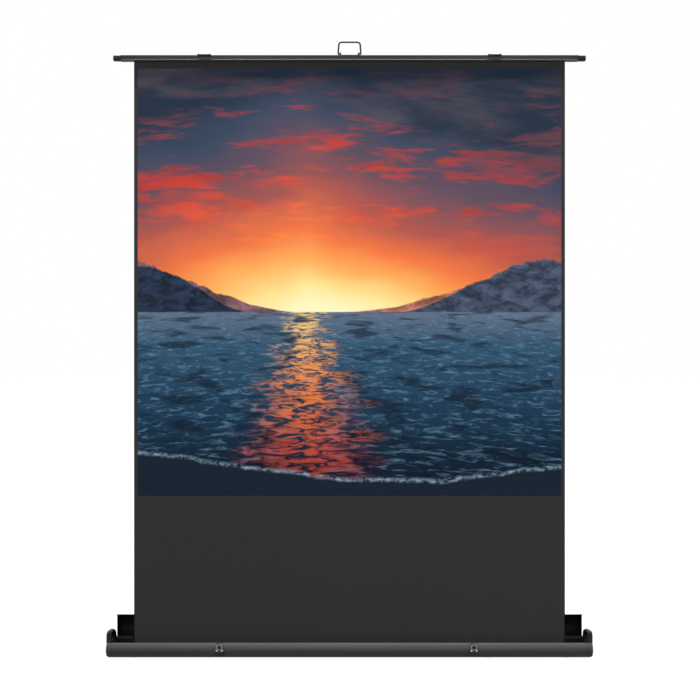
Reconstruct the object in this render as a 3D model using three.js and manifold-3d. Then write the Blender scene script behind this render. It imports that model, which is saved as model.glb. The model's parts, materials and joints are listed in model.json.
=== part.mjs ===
// Portable floor-rising projector screen, in millimetres, +Z up.
// The origin is on the floor under the middle of the case. +X runs along the case, and the picture faces -Y.
import * as THREE from "three";
import { mergeVertices } from "three/addons/utils/BufferGeometryUtils.js";
import Module from "manifold-3d";

const wasm = await Module();
wasm.setup();

// Clearances and the small overrun that every cut shares
const seatGap = 0.3;
const runningGap = 0.5;
const pinGap = 0.3;
const cutOverrun = 1;
const roundSides = 24;
const pinSides = 12;

// Screen
const viewWidth = 1530;
const borderWidth = 13;
const fabricWidth = viewWidth + 2 * borderWidth;
const fabricThick = 0.8;
const fabricInBar = 3.5;
const fabricY = -2.5;

// Case: an aluminium tray with a half-round front, between two moulded end caps
const trayWall = 2.5;
const trayFrontY = -50;
const trayRearY = 48;
const trayBottomZ = 7;
const trayLipZ = 58;
const trayLipDepth = 11;
const trayBulgeZ = 33;
const trayRound = 9.5;
const trayFrontFootY = -34;
const trayFrontLipY = -41;
const trayToKnuckle = 1;
const trayRearLipZ = 56;
const trayFloorZ = trayBottomZ + trayWall;

// Top bar with its end plugs
const raisedBarZ = 2158;
const barPastFabric = 46;
const barHalf = fabricWidth / 2 + barPastFabric;
const barDepth = 22;
const barHeight = 20;
const barTopRise = 12.5;
const barWall = 1.8;
const barSlot = 3;
const barGrooveDepth = 1.2;
const barGrooveHeight = 2.6;
const barGrooveDrop = 3.2;
const barTopZ = raisedBarZ + barTopRise;
const barBottomZ = barTopZ - barHeight;
const barFrontY = fabricY - barDepth / 2;
const barRearY = fabricY + barDepth / 2;
const plugLength = 28;
const plugInset = 1;
const plugSpigot = 12;

// End caps
const barToCap = 1;
const capInnerX = barHalf + plugLength + barToCap;
const capThick = 16;
const capHollowDepth = 11;
const capHollowShare = 0.84;
const capTopZ = 101;
const capRearY = 58;
const capProud = 1;
const capNotchSlope = 4;
const ribHalf = 1.2;
const ribSetback = 1;
const ribShares = [0.3, 0.62];
const bossRadius = 7;
const coverThick = 2;
const coverShare = 0.93;
const capOuterX = capInnerX + capThick;

// Roller
const rollerY = -20;
const rollerZ = 33;
const rollerRadius = 15;
const rollerBore = 13;
const woundThick = 1.5;
const axleRadius = 4;
const axleGap = 0.08;
const axlePastBracket = 1;
const rollerFlangeRadius = 16.5;
const rollerFlangeThick = 2;
const rollerSpigot = 10;
const bracketThick = 4;
const bracketToCap = 3;
const rollerToBracket = 8;
const bracketInnerX = capInnerX - bracketToCap - bracketThick;
const rollerHalf = bracketInnerX - rollerToBracket;
const bracketHalfDepth = 11;
const bracketTopZ = 46;
const springRadius = 8;
const springBore = 5;
const springLength = 520;

// Scissor lift: two crossed pairs of flat bars, held square by short links at both ends
const liftHalfSpread = 523.6;
const lowPivotZ = 26;
const armWidth = 20;
const armThick = 4;
const linkWidth = 16;
const linkThick = 3;
const pinRadius = 4;
const pinHeadRadius = 6;
const pinHeadThick = 1.7;
const rivetHeadRadius = 4.6;
const rivetHeadThick = 1.5;
const shoulderRadius = 6;
const frontLinkY = 9;
const frontArmY = 14.5;
const rearArmY = 19.5;
const rearLinkY = 26;
const midZ = (raisedBarZ + lowPivotZ) / 2;
const armLength = Math.hypot(2 * liftHalfSpread, midZ - lowPivotZ);
const armAngle = Math.atan2(midZ - lowPivotZ, 2 * liftHalfSpread);
const linkLength = armLength / 4;

// Carriages, their track and the brackets that hold the links
const trackWall = 1.5;
const trackFloor = 1.8;
const trackHeight = 5.8;
const trackY = 6;
const trackDepth = 22;
const shoeHalf = 25;
const trackInnerSpare = 8.6;
const trackToCap = 53;
const trackInnerX = liftHalfSpread - shoeHalf - trackInnerSpare;
const trackOuterX = capInnerX - trackToCap;
const shoeHeight = 3.4;
const uprightHalf = 14;
const uprightRise = 9;
const clipRadius = 6.5;
const clipThick = 0.5;
const saddleHalf = 23.5;
const saddlePlate = 3.2;
const saddleLipThick = 2;
const saddleLipDrop = 5;
const earHalf = 20;
const earThick = 3;
const earRise = 8;
const footPlateThick = 1.8;
const topEarPlate = 2;

// Pull handle on the bar
const handleHalf = 41;
const handleTopHalf = 38;
const handleWire = 6;
const handleRise = 52;
const handlePivotRise = 6;
const handleCorner = 5;
const handleTopCorner = 11;
const handleBaseHalf = 36;
const handleBaseFrontY = -10;
const handleBaseRearY = 5;
const handleBasePlate = 2;
const handleLugWidth = 6;
const handleLugTop = 11;
const handleLugHalfDepth = 5;

// Lid, standing open behind the screen on a long hinge rod
const hingeY = 52;
const hingeZ = 57;
const hingeRodRadius = 1.6;
const knuckleRadius = 4;
const knuckleBore = 2;
const lidChord = 84;
const lidBulge = 32;
const lidWall = 2;
const lidEndThick = 4;
const lidToCap = 1;
const lidHalf = capInnerX - lidToCap;
const pegRadius = 2;
const pegLength = 7;

// Draw latches on the front and their keepers on the lid, both pairs a little left of the middle
const latchX = 454;
const latchShift = -10;
const latchHalf = 15;
const latchPlate = 1.6;
const latchBottomZ = 13;
const latchTopZ = 53;
const latchPivotZ = 34;
const latchPivotOut = 5;
const latchBarrel = 3;
const latchPin = 1.5;
const latchEar = 1.5;
const leverHalf = 11;
const leverTongueHalf = 5;
const leverThick = 2.6;
const leverReach = 21;
const hookThick = 1.6;
const hookReach = 26;
const hookLip = 9;
const hookBarrelInner = 6;
const hookBarrelOuter = 12.5;
const keeperHalf = 11;
const keeperHeight = 10;
const keeperThick = 3;

// Carry handle on the back of the lid
const carryHalf = 62;
const carryDrop = 34;
const carryRadius = 5;
const carryCorner = 14;
const carryMountHalf = 9;
const carryMountDepth = 12;
const carryMountHeight = 16;
const carryMountInnerGap = 0.5;
const carryPivotRadius = 3;

// Feet and pads
const footHalf = 130;
const footWidth = 20;
const footThick = 4;
const footZ = 2;
const footTipLength = 22;
const footTipWidth = 22;
const footTipTop = 6.4;
const footBoltRadius = 7;
const endPadInset = 7;
const endPadLength = 16;
const padInner = capInnerX - endPadInset;
const footToPad = 54;
const footPivotX = padInner - footToPad - footTipLength - footHalf;
const padFrontY = -8;
const padRearY = 44;
const centrePadHalf = 25;
const centrePadHalfDepth = 8;

// Solids: geometry to manifold and back

function solidOf(geometry) {
  const bare = geometry.clone();
  bare.deleteAttribute("normal");
  bare.deleteAttribute("uv");
  const merged = mergeVertices(bare);
  return new wasm.Manifold(
    new wasm.Mesh({
      numProp: 3,
      vertProperties: new Float32Array(merged.getAttribute("position").array),
      triVerts: new Uint32Array(merged.index.array),
    }),
  );
}

function geometryOf(solid) {
  const mesh = solid.getMesh();
  const geometry = new THREE.BufferGeometry();
  geometry.setAttribute("position", new THREE.BufferAttribute(mesh.vertProperties, 3));
  geometry.setIndex(new THREE.BufferAttribute(mesh.triVerts, 1));
  return geometry;
}

function joined(first, ...others) {
  return geometryOf(others.reduce((sum, next) => sum.add(solidOf(next)), solidOf(first)));
}

function cut(first, ...tools) {
  return geometryOf(tools.reduce((rest, next) => rest.subtract(solidOf(next)), solidOf(first)));
}

// Shapes: each helper takes the two ends of the piece along its own axis, in either order

function boxAt([xa, xb], [ya, yb], [za, zb]) {
  const geometry = new THREE.BoxGeometry(Math.abs(xb - xa), Math.abs(yb - ya), Math.abs(zb - za));
  return geometry.translate((xa + xb) / 2, (ya + yb) / 2, (za + zb) / 2);
}

function rodX([xa, xb], y, z, radius, sides = pinSides) {
  const geometry = new THREE.CylinderGeometry(radius, radius, Math.abs(xb - xa), sides);
  return geometry.rotateZ(Math.PI / 2).translate((xa + xb) / 2, y, z);
}

function rodY([ya, yb], x, z, radius, sides = pinSides) {
  const geometry = new THREE.CylinderGeometry(radius, radius, Math.abs(yb - ya), sides);
  return geometry.translate(x, (ya + yb) / 2, z);
}

function rodZ([za, zb], x, y, radius, sides = pinSides) {
  const geometry = new THREE.CylinderGeometry(radius, radius, Math.abs(zb - za), sides);
  return geometry.rotateX(Math.PI / 2).translate(x, y, (za + zb) / 2);
}

// An outline in Y and Z, run along X
function prismX(outline, [xa, xb], curveSegments = roundSides / 4) {
  const geometry = new THREE.ExtrudeGeometry(outline, {
    depth: Math.abs(xb - xa),
    bevelEnabled: false,
    curveSegments,
  });
  const turn = new THREE.Matrix4().makeBasis(
    new THREE.Vector3(0, 1, 0),
    new THREE.Vector3(0, 0, 1),
    new THREE.Vector3(1, 0, 0),
  );
  return geometry.applyMatrix4(turn).translate(Math.min(xa, xb), 0, 0);
}

// A flat bar with round ends in X and Z, from one end's centre to the other's
function barBetween([xa, za], [xb, zb], width, [ya, yb]) {
  const radius = width / 2;
  const length = Math.hypot(xb - xa, zb - za);
  const outline = new THREE.Shape();
  outline.absarc(0, 0, radius, Math.PI / 2, (3 * Math.PI) / 2, false);
  outline.absarc(length, 0, radius, -Math.PI / 2, Math.PI / 2, false);
  const geometry = new THREE.ExtrudeGeometry(outline, {
    depth: Math.abs(yb - ya),
    bevelEnabled: false,
    curveSegments: roundSides / 3,
  });
  geometry.rotateX(Math.PI / 2);
  geometry.translate(0, Math.max(ya, yb), 0);
  geometry.rotateY(-Math.atan2(zb - za, xb - xa));
  return geometry.translate(xa, 0, za);
}

// A round wire along points, each corner rounded by its own length
function wire(points, corners, radius, sides = 8, cornerSteps = 4) {
  const path = new THREE.CurvePath();
  let from = points[0];
  for (let i = 1; i < points.length - 1; i++) {
    const into = points[i].clone().sub(points[i - 1]).normalize();
    const out = points[i + 1].clone().sub(points[i]).normalize();
    const start = points[i].clone().addScaledVector(into, -corners[i - 1]);
    const end = points[i].clone().addScaledVector(out, corners[i - 1]);
    path.add(new THREE.LineCurve3(from, start));
    path.add(new THREE.QuadraticBezierCurve3(start, points[i], end));
    from = end;
  }
  path.add(new THREE.LineCurve3(from, points[points.length - 1]));
  const stops = path.curves.flatMap((curve) => {
    const steps = curve.isLineCurve3 ? 1 : cornerSteps;
    return Array.from({ length: steps }, (_, k) => curve.getPoint(k / steps));
  });
  stops.push(points[points.length - 1]);
  const section = new THREE.Shape();
  section.absarc(0, 0, radius, 0, 2 * Math.PI, false);
  const through = new PolyPath(stops);
  return new THREE.ExtrudeGeometry(section, {
    steps: stops.length - 1,
    curveSegments: sides,
    extrudePath: through,
  });
}

// A path of straight runs whose parameter steps from one stop to the next
class PolyPath extends THREE.Curve {
  constructor(stops) {
    super();
    this.stops = stops;
  }

  getPoint(t, target = new THREE.Vector3()) {
    const along = t * (this.stops.length - 1);
    const index = Math.min(Math.floor(along), this.stops.length - 2);
    return target.lerpVectors(this.stops[index], this.stops[index + 1], along - index);
  }

  getPointAt(t, target) {
    return this.getPoint(t, target);
  }

  getTangent(t, target = new THREE.Vector3()) {
    const along = t * (this.stops.length - 1);
    const near = Math.round(along);
    const before = this.stops[Math.max(near - 1, 0)];
    const after = this.stops[Math.min(near + 1, this.stops.length - 1)];
    return target.subVectors(after, before).normalize();
  }

  getTangentAt(t, target) {
    return this.getTangent(t, target);
  }
}

// Finishes: colour, roughness and metalness
const finishes = {
  casePaint: [0x1a1a1b, 0.42, 0.6],
  blackMoulding: [0x0e0e0f, 0.55, 0],
  silverCover: [0xa8a9aa, 0.5, 0.1],
  barPaint: [0x2c2c2d, 0.4, 0.6],
  steel: [0x8a8c8e, 0.35, 1],
  darkSteel: [0x2b2b2d, 0.4, 0.9],
  chrome: [0xc8cacc, 0.15, 1],
  armPaint: [0x18181a, 0.45, 0.6],
  rubber: [0x141414, 0.85, 0],
  fabric: [0x2f2f2f, 0.9, 0],
};

const screen = new THREE.Group();
const sides = { left: -1, right: 1 };

function addPiece(name, geometry, finish) {
  const [color, roughness, metalness] = finishes[finish];
  const mesh = new THREE.Mesh(geometry, new THREE.MeshStandardMaterial({ color, roughness, metalness }));
  mesh.name = name;
  screen.add(mesh);
}

// Base tray: half-round front, folded lip, floor and a low rear wall that ends just before the hinge
function trayOutline() {
  const outline = new THREE.Shape();
  const innerFront = trayFrontY + trayWall;
  const shoulderZ = hingeZ - knuckleRadius - trayToKnuckle;
  outline.moveTo(trayRearY, trayBottomZ);
  outline.lineTo(trayFrontFootY, trayBottomZ);
  outline.quadraticCurveTo(trayFrontY, trayBottomZ + trayRound, trayFrontY, trayBulgeZ);
  outline.quadraticCurveTo(trayFrontY, trayLipZ - trayRound, trayFrontLipY, trayLipZ);
  outline.lineTo(trayFrontLipY + trayLipDepth, trayLipZ);
  outline.lineTo(trayFrontLipY + trayLipDepth, trayLipZ - trayWall);
  outline.lineTo(trayFrontLipY + trayWall / 2, trayLipZ - trayWall);
  outline.quadraticCurveTo(innerFront, trayLipZ - trayWall / 2 - trayRound, innerFront, trayBulgeZ);
  const footBendZ = trayBottomZ + trayWall / 2 + trayRound;
  outline.quadraticCurveTo(innerFront, footBendZ, trayFrontFootY + trayWall / 2, trayFloorZ);
  outline.lineTo(trayRearY - trayWall, trayFloorZ);
  outline.lineTo(trayRearY - trayWall, trayRearLipZ);
  outline.lineTo(trayRearY - trayToKnuckle, trayRearLipZ);
  outline.lineTo(trayRearY, shoulderZ);
  outline.closePath();
  return outline;
}

addPiece("base_tray", prismX(trayOutline(), [-capInnerX, capInnerX], roundSides / 3), "casePaint");

// End caps: the profile of the closed case, hollow towards the middle, with two ribs and a boss
const capMidY = (trayFrontY + trayRearY) / 2;
const capMidZ = (trayBottomZ + capTopZ) / 2;

function capOutline(share) {
  const at = (y, z) => [capMidY + (y - capMidY) * share, capMidZ + (z - capMidZ) * share];
  const front = trayFrontY - capProud;
  const frontTopY = trayFrontLipY;
  const shoulderY = trayFrontLipY + trayLipDepth;
  const notchY = fabricY + barDepth - capProud;
  const notchZ = capTopZ - trayLipDepth + capProud;
  const rearShoulderY = trayRearY - trayLipDepth;
  const outline = new THREE.Shape();
  outline.moveTo(...at(trayRearY, trayBottomZ));
  outline.lineTo(...at(trayFrontFootY, trayBottomZ));
  outline.quadraticCurveTo(...at(front, trayBottomZ + trayRound), ...at(front, trayBulgeZ));
  const frontBend = at(front, trayLipZ + trayWall - trayRound);
  outline.quadraticCurveTo(...frontBend, ...at(frontTopY - capProud, trayLipZ + trayWall));
  outline.lineTo(...at(frontTopY, capTopZ - trayLipDepth));
  outline.quadraticCurveTo(...at(frontTopY, capTopZ), ...at(shoulderY, capTopZ));
  outline.lineTo(...at(notchY, capTopZ - capNotchSlope));
  outline.lineTo(...at(notchY + capProud, notchZ));
  outline.lineTo(...at(notchY + capNotchSlope, notchZ));
  const rearBend = at(rearShoulderY + capNotchSlope, notchZ);
  outline.quadraticCurveTo(...rearBend, ...at(trayRearY, capTopZ - 2 * trayLipDepth));
  outline.lineTo(...at(capRearY, hingeZ + knuckleRadius));
  outline.lineTo(...at(capRearY, hingeZ - knuckleRadius));
  outline.lineTo(...at(trayRearY + capProud, trayBulgeZ));
  outline.closePath();
  return outline;
}

const ribTopZ = capTopZ - 2 * trayLipDepth;

for (const [side, sign] of Object.entries(sides)) {
  const inner = sign * capInnerX;
  const outer = sign * capOuterX;
  const hollowEnd = sign * (capInnerX + capHollowDepth);
  const body = cut(
    prismX(capOutline(1), [inner, outer]),
    prismX(capOutline(capHollowShare), [inner - sign * cutOverrun, hollowEnd]),
    rodX([inner - sign * cutOverrun, hollowEnd], hingeY, hingeZ, knuckleBore),
  );
  const hollowSeat = hollowEnd + sign * cutOverrun;
  const ribs = ribShares.map((share) => {
    const y = THREE.MathUtils.lerp(trayFrontY, trayRearY, share);
    return boxAt([inner + sign * ribSetback, hollowSeat], [y - ribHalf, y + ribHalf], [trayFloorZ, ribTopZ]);
  });
  const boss = rodX([inner + sign * ribSetback, hollowSeat], capMidY, trayLipZ, bossRadius, roundSides);
  addPiece(`end_cap_${side}`, joined(body, ...ribs, boss), "blackMoulding");
  const cover = prismX(capOutline(coverShare), [outer, outer + sign * coverThick]);
  addPiece(`end_cover_${side}`, cover, "silverCover");
  const padOuter = padInner + endPadLength;
  const pad = boxAt([sign * padInner, sign * padOuter], [padFrontY, padRearY], [0, trayBottomZ]);
  addPiece(`end_pad_${side}`, pad, "rubber");
}

const centrePad = boxAt(
  [-centrePadHalf, centrePadHalf],
  [-centrePadHalfDepth, centrePadHalfDepth],
  [0, trayBottomZ],
);
addPiece("centre_pad", centrePad, "rubber");

// Roller with its plugs, spring motor and the turns of fabric left on it
function ringX([xa, xb], y, z, outer, inner) {
  const half = Math.abs(xb - xa) / 2;
  const profile = [
    new THREE.Vector2(inner, -half),
    new THREE.Vector2(outer, -half),
    new THREE.Vector2(outer, half),
    new THREE.Vector2(inner, half),
    new THREE.Vector2(inner, -half),
  ];
  const geometry = new THREE.LatheGeometry(profile, roundSides);
  return geometry.rotateZ(Math.PI / 2).translate((xa + xb) / 2, y, z);
}

const woundInner = rollerRadius + seatGap;
const woundOuter = woundInner + woundThick;
const tube = ringX([-rollerHalf, rollerHalf], rollerY, rollerZ, rollerRadius, rollerBore);
addPiece("roller_tube", tube, "steel");
addPiece(
  "wound_fabric",
  ringX([-fabricWidth / 2, fabricWidth / 2], rollerY, rollerZ, woundOuter, woundInner),
  "fabric",
);
const spigotEnd = rollerHalf - rollerSpigot;
addPiece(
  "roller_spring",
  ringX([spigotEnd - springLength, spigotEnd], rollerY, rollerZ, springRadius, springBore),
  "darkSteel",
);
for (const [side, sign] of Object.entries(sides)) {
  const tubeEnd = sign * rollerHalf;
  const flangeEnd = sign * (rollerHalf + rollerFlangeThick);
  const axleEnd = sign * (bracketInnerX + bracketThick + axlePastBracket);
  const plug = joined(
    rodX([sign * spigotEnd, tubeEnd], rollerY, rollerZ, rollerBore - pinGap, roundSides),
    rodX([tubeEnd, flangeEnd], rollerY, rollerZ, rollerFlangeRadius, roundSides),
    rodX([tubeEnd, axleEnd], rollerY, rollerZ, axleRadius, roundSides),
  );
  addPiece(`roller_plug_${side}`, plug, "blackMoulding");
  const plate = boxAt(
    [sign * bracketInnerX, sign * (bracketInnerX + bracketThick)],
    [rollerY - bracketHalfDepth, rollerY + bracketHalfDepth],
    [trayFloorZ, bracketTopZ],
  );
  const bore = rodX(
    [sign * (bracketInnerX - cutOverrun), sign * (bracketInnerX + bracketThick + cutOverrun)],
    rollerY,
    rollerZ,
    axleRadius + axleGap,
    roundSides,
  );
  addPiece(`roller_bracket_${side}`, cut(plate, bore), "steel");
}

// Fabric from the roller's rear tangent up into the bar's slot
const fabricRearY = fabricY + fabricThick / 2;
const fabricFrontY = fabricY - fabricThick / 2;
const fabricTopZ = barBottomZ + fabricInBar;
addPiece(
  "screen_fabric",
  boxAt([-fabricWidth / 2, fabricWidth / 2], [fabricFrontY, fabricRearY], [rollerZ, fabricTopZ]),
  "fabric",
);

// Lower tracks, one at each end of the tray
const trackTopZ = trayFloorZ + trackHeight;
const trackFloorZ = trayFloorZ + trackFloor;
for (const [side, sign] of Object.entries(sides)) {
  const spanX = [sign * trackInnerX, sign * trackOuterX];
  const clearX = [sign * (trackInnerX - cutOverrun), sign * (trackOuterX + cutOverrun)];
  const rail = boxAt(spanX, [trackY, trackY + trackDepth], [trayFloorZ, trackTopZ]);
  const groove = boxAt(
    clearX,
    [trackY + trackWall, trackY + trackDepth - trackWall],
    [trackFloorZ, trackTopZ + cutOverrun],
  );
  addPiece(`lower_track_${side}`, cut(rail, groove), "steel");
}

// Pins of the lift: through a hole of the same centre plus the pin gap
const hole = (x, z, [ya, yb]) => rodY([ya - cutOverrun, yb + cutOverrun], x, z, pinRadius + pinGap);
const frontArm = [frontArmY, frontArmY + armThick];
const rearArm = [rearArmY, rearArmY + armThick];
const frontLink = [frontLinkY, frontLinkY + linkThick];
const rearLink = [rearLinkY, rearLinkY + linkThick];

// A rear arm carries the pins of its middle, its elbow and its link
function rearArmPiece(lowEnd, highEnd, elbow, quarter) {
  const middle = [(lowEnd[0] + highEnd[0]) / 2, (lowEnd[1] + highEnd[1]) / 2];
  const freeEnd = elbow === highEnd ? lowEnd : highEnd;
  const bar = cut(barBetween(lowEnd, highEnd, armWidth, rearArm), hole(...freeEnd, rearArm));
  const pins = [middle, elbow].flatMap(([x, z]) => [
    rodY([frontArmY - seatGap, rearArmY + armThick / 2], x, z, pinRadius),
    rodY([rearArmY + armThick / 2, rearArm[1] + rivetHeadThick], x, z, rivetHeadRadius),
  ]);
  const linkPin = [
    rodY([rearArmY + armThick / 2, rearLinkY - seatGap], ...quarter, shoulderRadius),
    rodY([rearArmY + armThick / 2, rearLink[1] + seatGap], ...quarter, pinRadius),
    rodY([rearLink[1] + seatGap, rearLink[1] + seatGap + pinHeadThick], ...quarter, pinHeadRadius),
  ];
  return joined(bar, ...pins, ...linkPin);
}

// A front arm has holes at its middle and both ends, and carries its link's pin
function frontArmPiece(lowEnd, highEnd, quarter) {
  const middle = [(lowEnd[0] + highEnd[0]) / 2, (lowEnd[1] + highEnd[1]) / 2];
  const holes = [lowEnd, middle, highEnd].map(([x, z]) => hole(x, z, frontArm));
  const bar = cut(barBetween(lowEnd, highEnd, armWidth, frontArm), ...holes);
  const shoulder = rodY([frontLink[1] + seatGap, frontArmY + armThick / 2], ...quarter, shoulderRadius);
  const pin = rodY([frontLinkY - seatGap / 2, frontArmY + armThick / 2], ...quarter, pinRadius);
  return joined(bar, shoulder, pin);
}

function linkPiece(from, to, span) {
  return cut(barBetween(from, to, linkWidth, span), hole(...from, span), hole(...to, span));
}

const lowLeft = [-liftHalfSpread, lowPivotZ];
const lowRight = [liftHalfSpread, lowPivotZ];
const elbowLeft = [-liftHalfSpread, midZ];
const elbowRight = [liftHalfSpread, midZ];
const topLeft = [-liftHalfSpread, raisedBarZ];
const topRight = [liftHalfSpread, raisedBarZ];
const linkReachX = linkLength * Math.cos(armAngle);
const linkReachZ = linkLength * Math.sin(armAngle);
const lowCentre = [0, lowPivotZ];
const topCentre = [0, raisedBarZ];
const lowQuarterLeft = [-linkReachX, lowPivotZ + linkReachZ];
const lowQuarterRight = [linkReachX, lowPivotZ + linkReachZ];
const topQuarterLeft = [-linkReachX, raisedBarZ - linkReachZ];
const topQuarterRight = [linkReachX, raisedBarZ - linkReachZ];

addPiece("lower_arm_rear", rearArmPiece(lowLeft, elbowRight, elbowRight, lowQuarterLeft), "armPaint");
addPiece("lower_arm_front", frontArmPiece(lowRight, elbowLeft, lowQuarterRight), "armPaint");
addPiece("upper_arm_rear", rearArmPiece(elbowLeft, topRight, elbowLeft, topQuarterRight), "armPaint");
addPiece("upper_arm_front", frontArmPiece(elbowRight, topLeft, topQuarterLeft), "armPaint");
addPiece("lower_link_rear", linkPiece(lowCentre, lowQuarterLeft, rearLink), "darkSteel");
addPiece("lower_link_front", linkPiece(lowCentre, lowQuarterRight, frontLink), "darkSteel");
addPiece("upper_link_rear", linkPiece(topCentre, topQuarterRight, rearLink), "darkSteel");
addPiece("upper_link_front", linkPiece(topCentre, topQuarterLeft, frontLink), "darkSteel");

// The stub pin of a carriage, from its plate through one arm, with a retaining clip
function carriagePin(x, z, armSpan) {
  const plateY = frontLink[1];
  const [armStart, armEnd] = armSpan;
  return [
    rodY([plateY - linkThick / 2, armStart - seatGap], x, z, shoulderRadius),
    rodY([plateY, armEnd + seatGap], x, z, pinRadius),
    rodY([armEnd + seatGap, armEnd + seatGap + clipThick], x, z, clipRadius),
  ];
}

// Lower carriages: a shoe in the track with an upright plate
const shoeZ = trackFloorZ + seatGap;
const shoeTopZ = shoeZ + shoeHeight;
function lowerCarriage(x, armSpan) {
  const shoe = boxAt(
    [x - shoeHalf, x + shoeHalf],
    [trackY + trackWall + runningGap, trackY + trackDepth - trackWall - runningGap],
    [shoeZ, shoeTopZ],
  );
  const upright = boxAt([x - uprightHalf, x + uprightHalf], frontLink, [shoeZ, lowPivotZ + uprightRise]);
  return joined(shoe, upright, ...carriagePin(x, lowPivotZ, armSpan));
}

addPiece("lower_carriage_left", lowerCarriage(-liftHalfSpread, rearArm), "blackMoulding");
addPiece("lower_carriage_right", lowerCarriage(liftHalfSpread, frontArm), "blackMoulding");

// Upper carriages: saddles over the bar, with a short lip in front and the pin plate behind
function upperCarriage(x, armSpan) {
  const spanX = [x - saddleHalf, x + saddleHalf];
  const roofZ = barTopZ + runningGap;
  const frontY = barFrontY - runningGap - saddleLipThick;
  const roof = boxAt(spanX, [frontY, frontLink[1]], [roofZ, roofZ + saddlePlate]);
  const lipSpanZ = [barTopZ - saddleLipDrop, roofZ + saddlePlate / 2];
  const lip = boxAt(spanX, [frontY, frontY + saddleLipThick], lipSpanZ);
  const plate = boxAt(
    [x - uprightHalf, x + uprightHalf],
    frontLink,
    [raisedBarZ - uprightRise, roofZ + saddlePlate / 2],
  );
  return joined(roof, lip, plate, ...carriagePin(x, raisedBarZ, armSpan));
}

addPiece("upper_carriage_left", upperCarriage(-liftHalfSpread, frontArm), "blackMoulding");
addPiece("upper_carriage_right", upperCarriage(liftHalfSpread, rearArm), "blackMoulding");

// Centre bracket on the tray floor: one ear in front of the links and one behind
const frontEar = [frontLinkY - runningGap - earThick, frontLinkY - runningGap];
const rearEar = [rearLink[1] + runningGap, rearLink[1] + runningGap + earThick];
function linkStub([x, z], earSpan, linkSpan) {
  const front = earSpan[0] < linkSpan[0];
  const earMid = (earSpan[0] + earSpan[1]) / 2;
  const seat = front ? linkSpan[1] + seatGap / 2 : linkSpan[0] - seatGap / 2;
  const headEnd = front ? seat + pinHeadThick : seat - pinHeadThick;
  return [rodY([earMid, seat], x, z, pinRadius), rodY([seat, headEnd], x, z, pinHeadRadius)];
}

const bracketPlate = boxAt(
  [-earHalf, earHalf],
  [frontEar[0], rearEar[1]],
  [trayFloorZ, trayFloorZ + footPlateThick],
);
const lowEars = [frontEar, rearEar].map((span) =>
  boxAt([-earHalf, earHalf], span, [trayFloorZ, lowPivotZ + earRise]),
);
addPiece(
  "centre_bracket",
  joined(
    bracketPlate,
    ...lowEars,
    ...linkStub(lowCentre, frontEar, frontLink),
    ...linkStub(lowCentre, rearEar, rearLink),
  ),
  "steel",
);

// Top bracket: an ear behind the links, hung from the back edge of the bar
const topEarZ = [raisedBarZ - earRise, barTopZ + topEarPlate];
const topPlate = boxAt(
  [-earHalf, earHalf],
  [handleBaseRearY + seatGap, rearEar[1]],
  [barTopZ, barTopZ + topEarPlate],
);
addPiece(
  "top_bracket",
  joined(topPlate, boxAt([-earHalf, earHalf], rearEar, topEarZ), ...linkStub(topCentre, rearEar, rearLink)),
  "steel",
);
const topPinSeat = frontLink[1] + seatGap / 2;
addPiece(
  "top_link_pin",
  joined(
    rodY([barRearY, topPinSeat], ...topCentre, pinRadius),
    rodY([topPinSeat, topPinSeat + pinHeadThick], ...topCentre, pinHeadRadius),
  ),
  "steel",
);

// Top bar: a hollow rail, slotted underneath for the fabric, with a groove high on its face
function barOutline() {
  const outline = new THREE.Shape();
  const slotFrontY = fabricY - barSlot / 2;
  const slotRearY = fabricY + barSlot / 2;
  const grooveTopZ = barTopZ - barGrooveDrop;
  const grooveBottomZ = grooveTopZ - barGrooveHeight;
  outline.moveTo(slotFrontY, barBottomZ);
  outline.lineTo(slotFrontY, barBottomZ + barWall);
  outline.lineTo(barFrontY + 2 * barWall, barBottomZ + barWall);
  outline.lineTo(barFrontY + 2 * barWall, barTopZ - barWall);
  outline.lineTo(barRearY - barWall, barTopZ - barWall);
  outline.lineTo(barRearY - barWall, barBottomZ + barWall);
  outline.lineTo(slotRearY, barBottomZ + barWall);
  outline.lineTo(slotRearY, barBottomZ);
  outline.lineTo(barRearY, barBottomZ);
  outline.lineTo(barRearY, barTopZ - barWall);
  outline.lineTo(barRearY - barWall, barTopZ);
  outline.lineTo(barFrontY + barWall, barTopZ);
  outline.lineTo(barFrontY, barTopZ - barWall);
  outline.lineTo(barFrontY, grooveTopZ);
  outline.lineTo(barFrontY + barGrooveDepth, grooveTopZ);
  outline.lineTo(barFrontY + barGrooveDepth, grooveBottomZ);
  outline.lineTo(barFrontY, grooveBottomZ);
  outline.lineTo(barFrontY, barBottomZ);
  outline.closePath();
  return outline;
}

addPiece("top_bar", prismX(barOutline(), [-barHalf, barHalf]), "barPaint");
for (const [side, sign] of Object.entries(sides)) {
  const head = boxAt(
    [sign * barHalf, sign * (barHalf + plugLength)],
    [barFrontY + plugInset, barRearY - plugInset],
    [barBottomZ + plugInset, barTopZ - plugInset],
  );
  const spigot = boxAt(
    [sign * (barHalf - plugSpigot), sign * (barHalf + plugInset)],
    [barFrontY + 2 * barWall + seatGap, barRearY - barWall - seatGap],
    [barBottomZ + barWall + seatGap, barTopZ - barWall - seatGap],
  );
  addPiece(`bar_plug_${side}`, joined(head, spigot), "blackMoulding");
}

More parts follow.
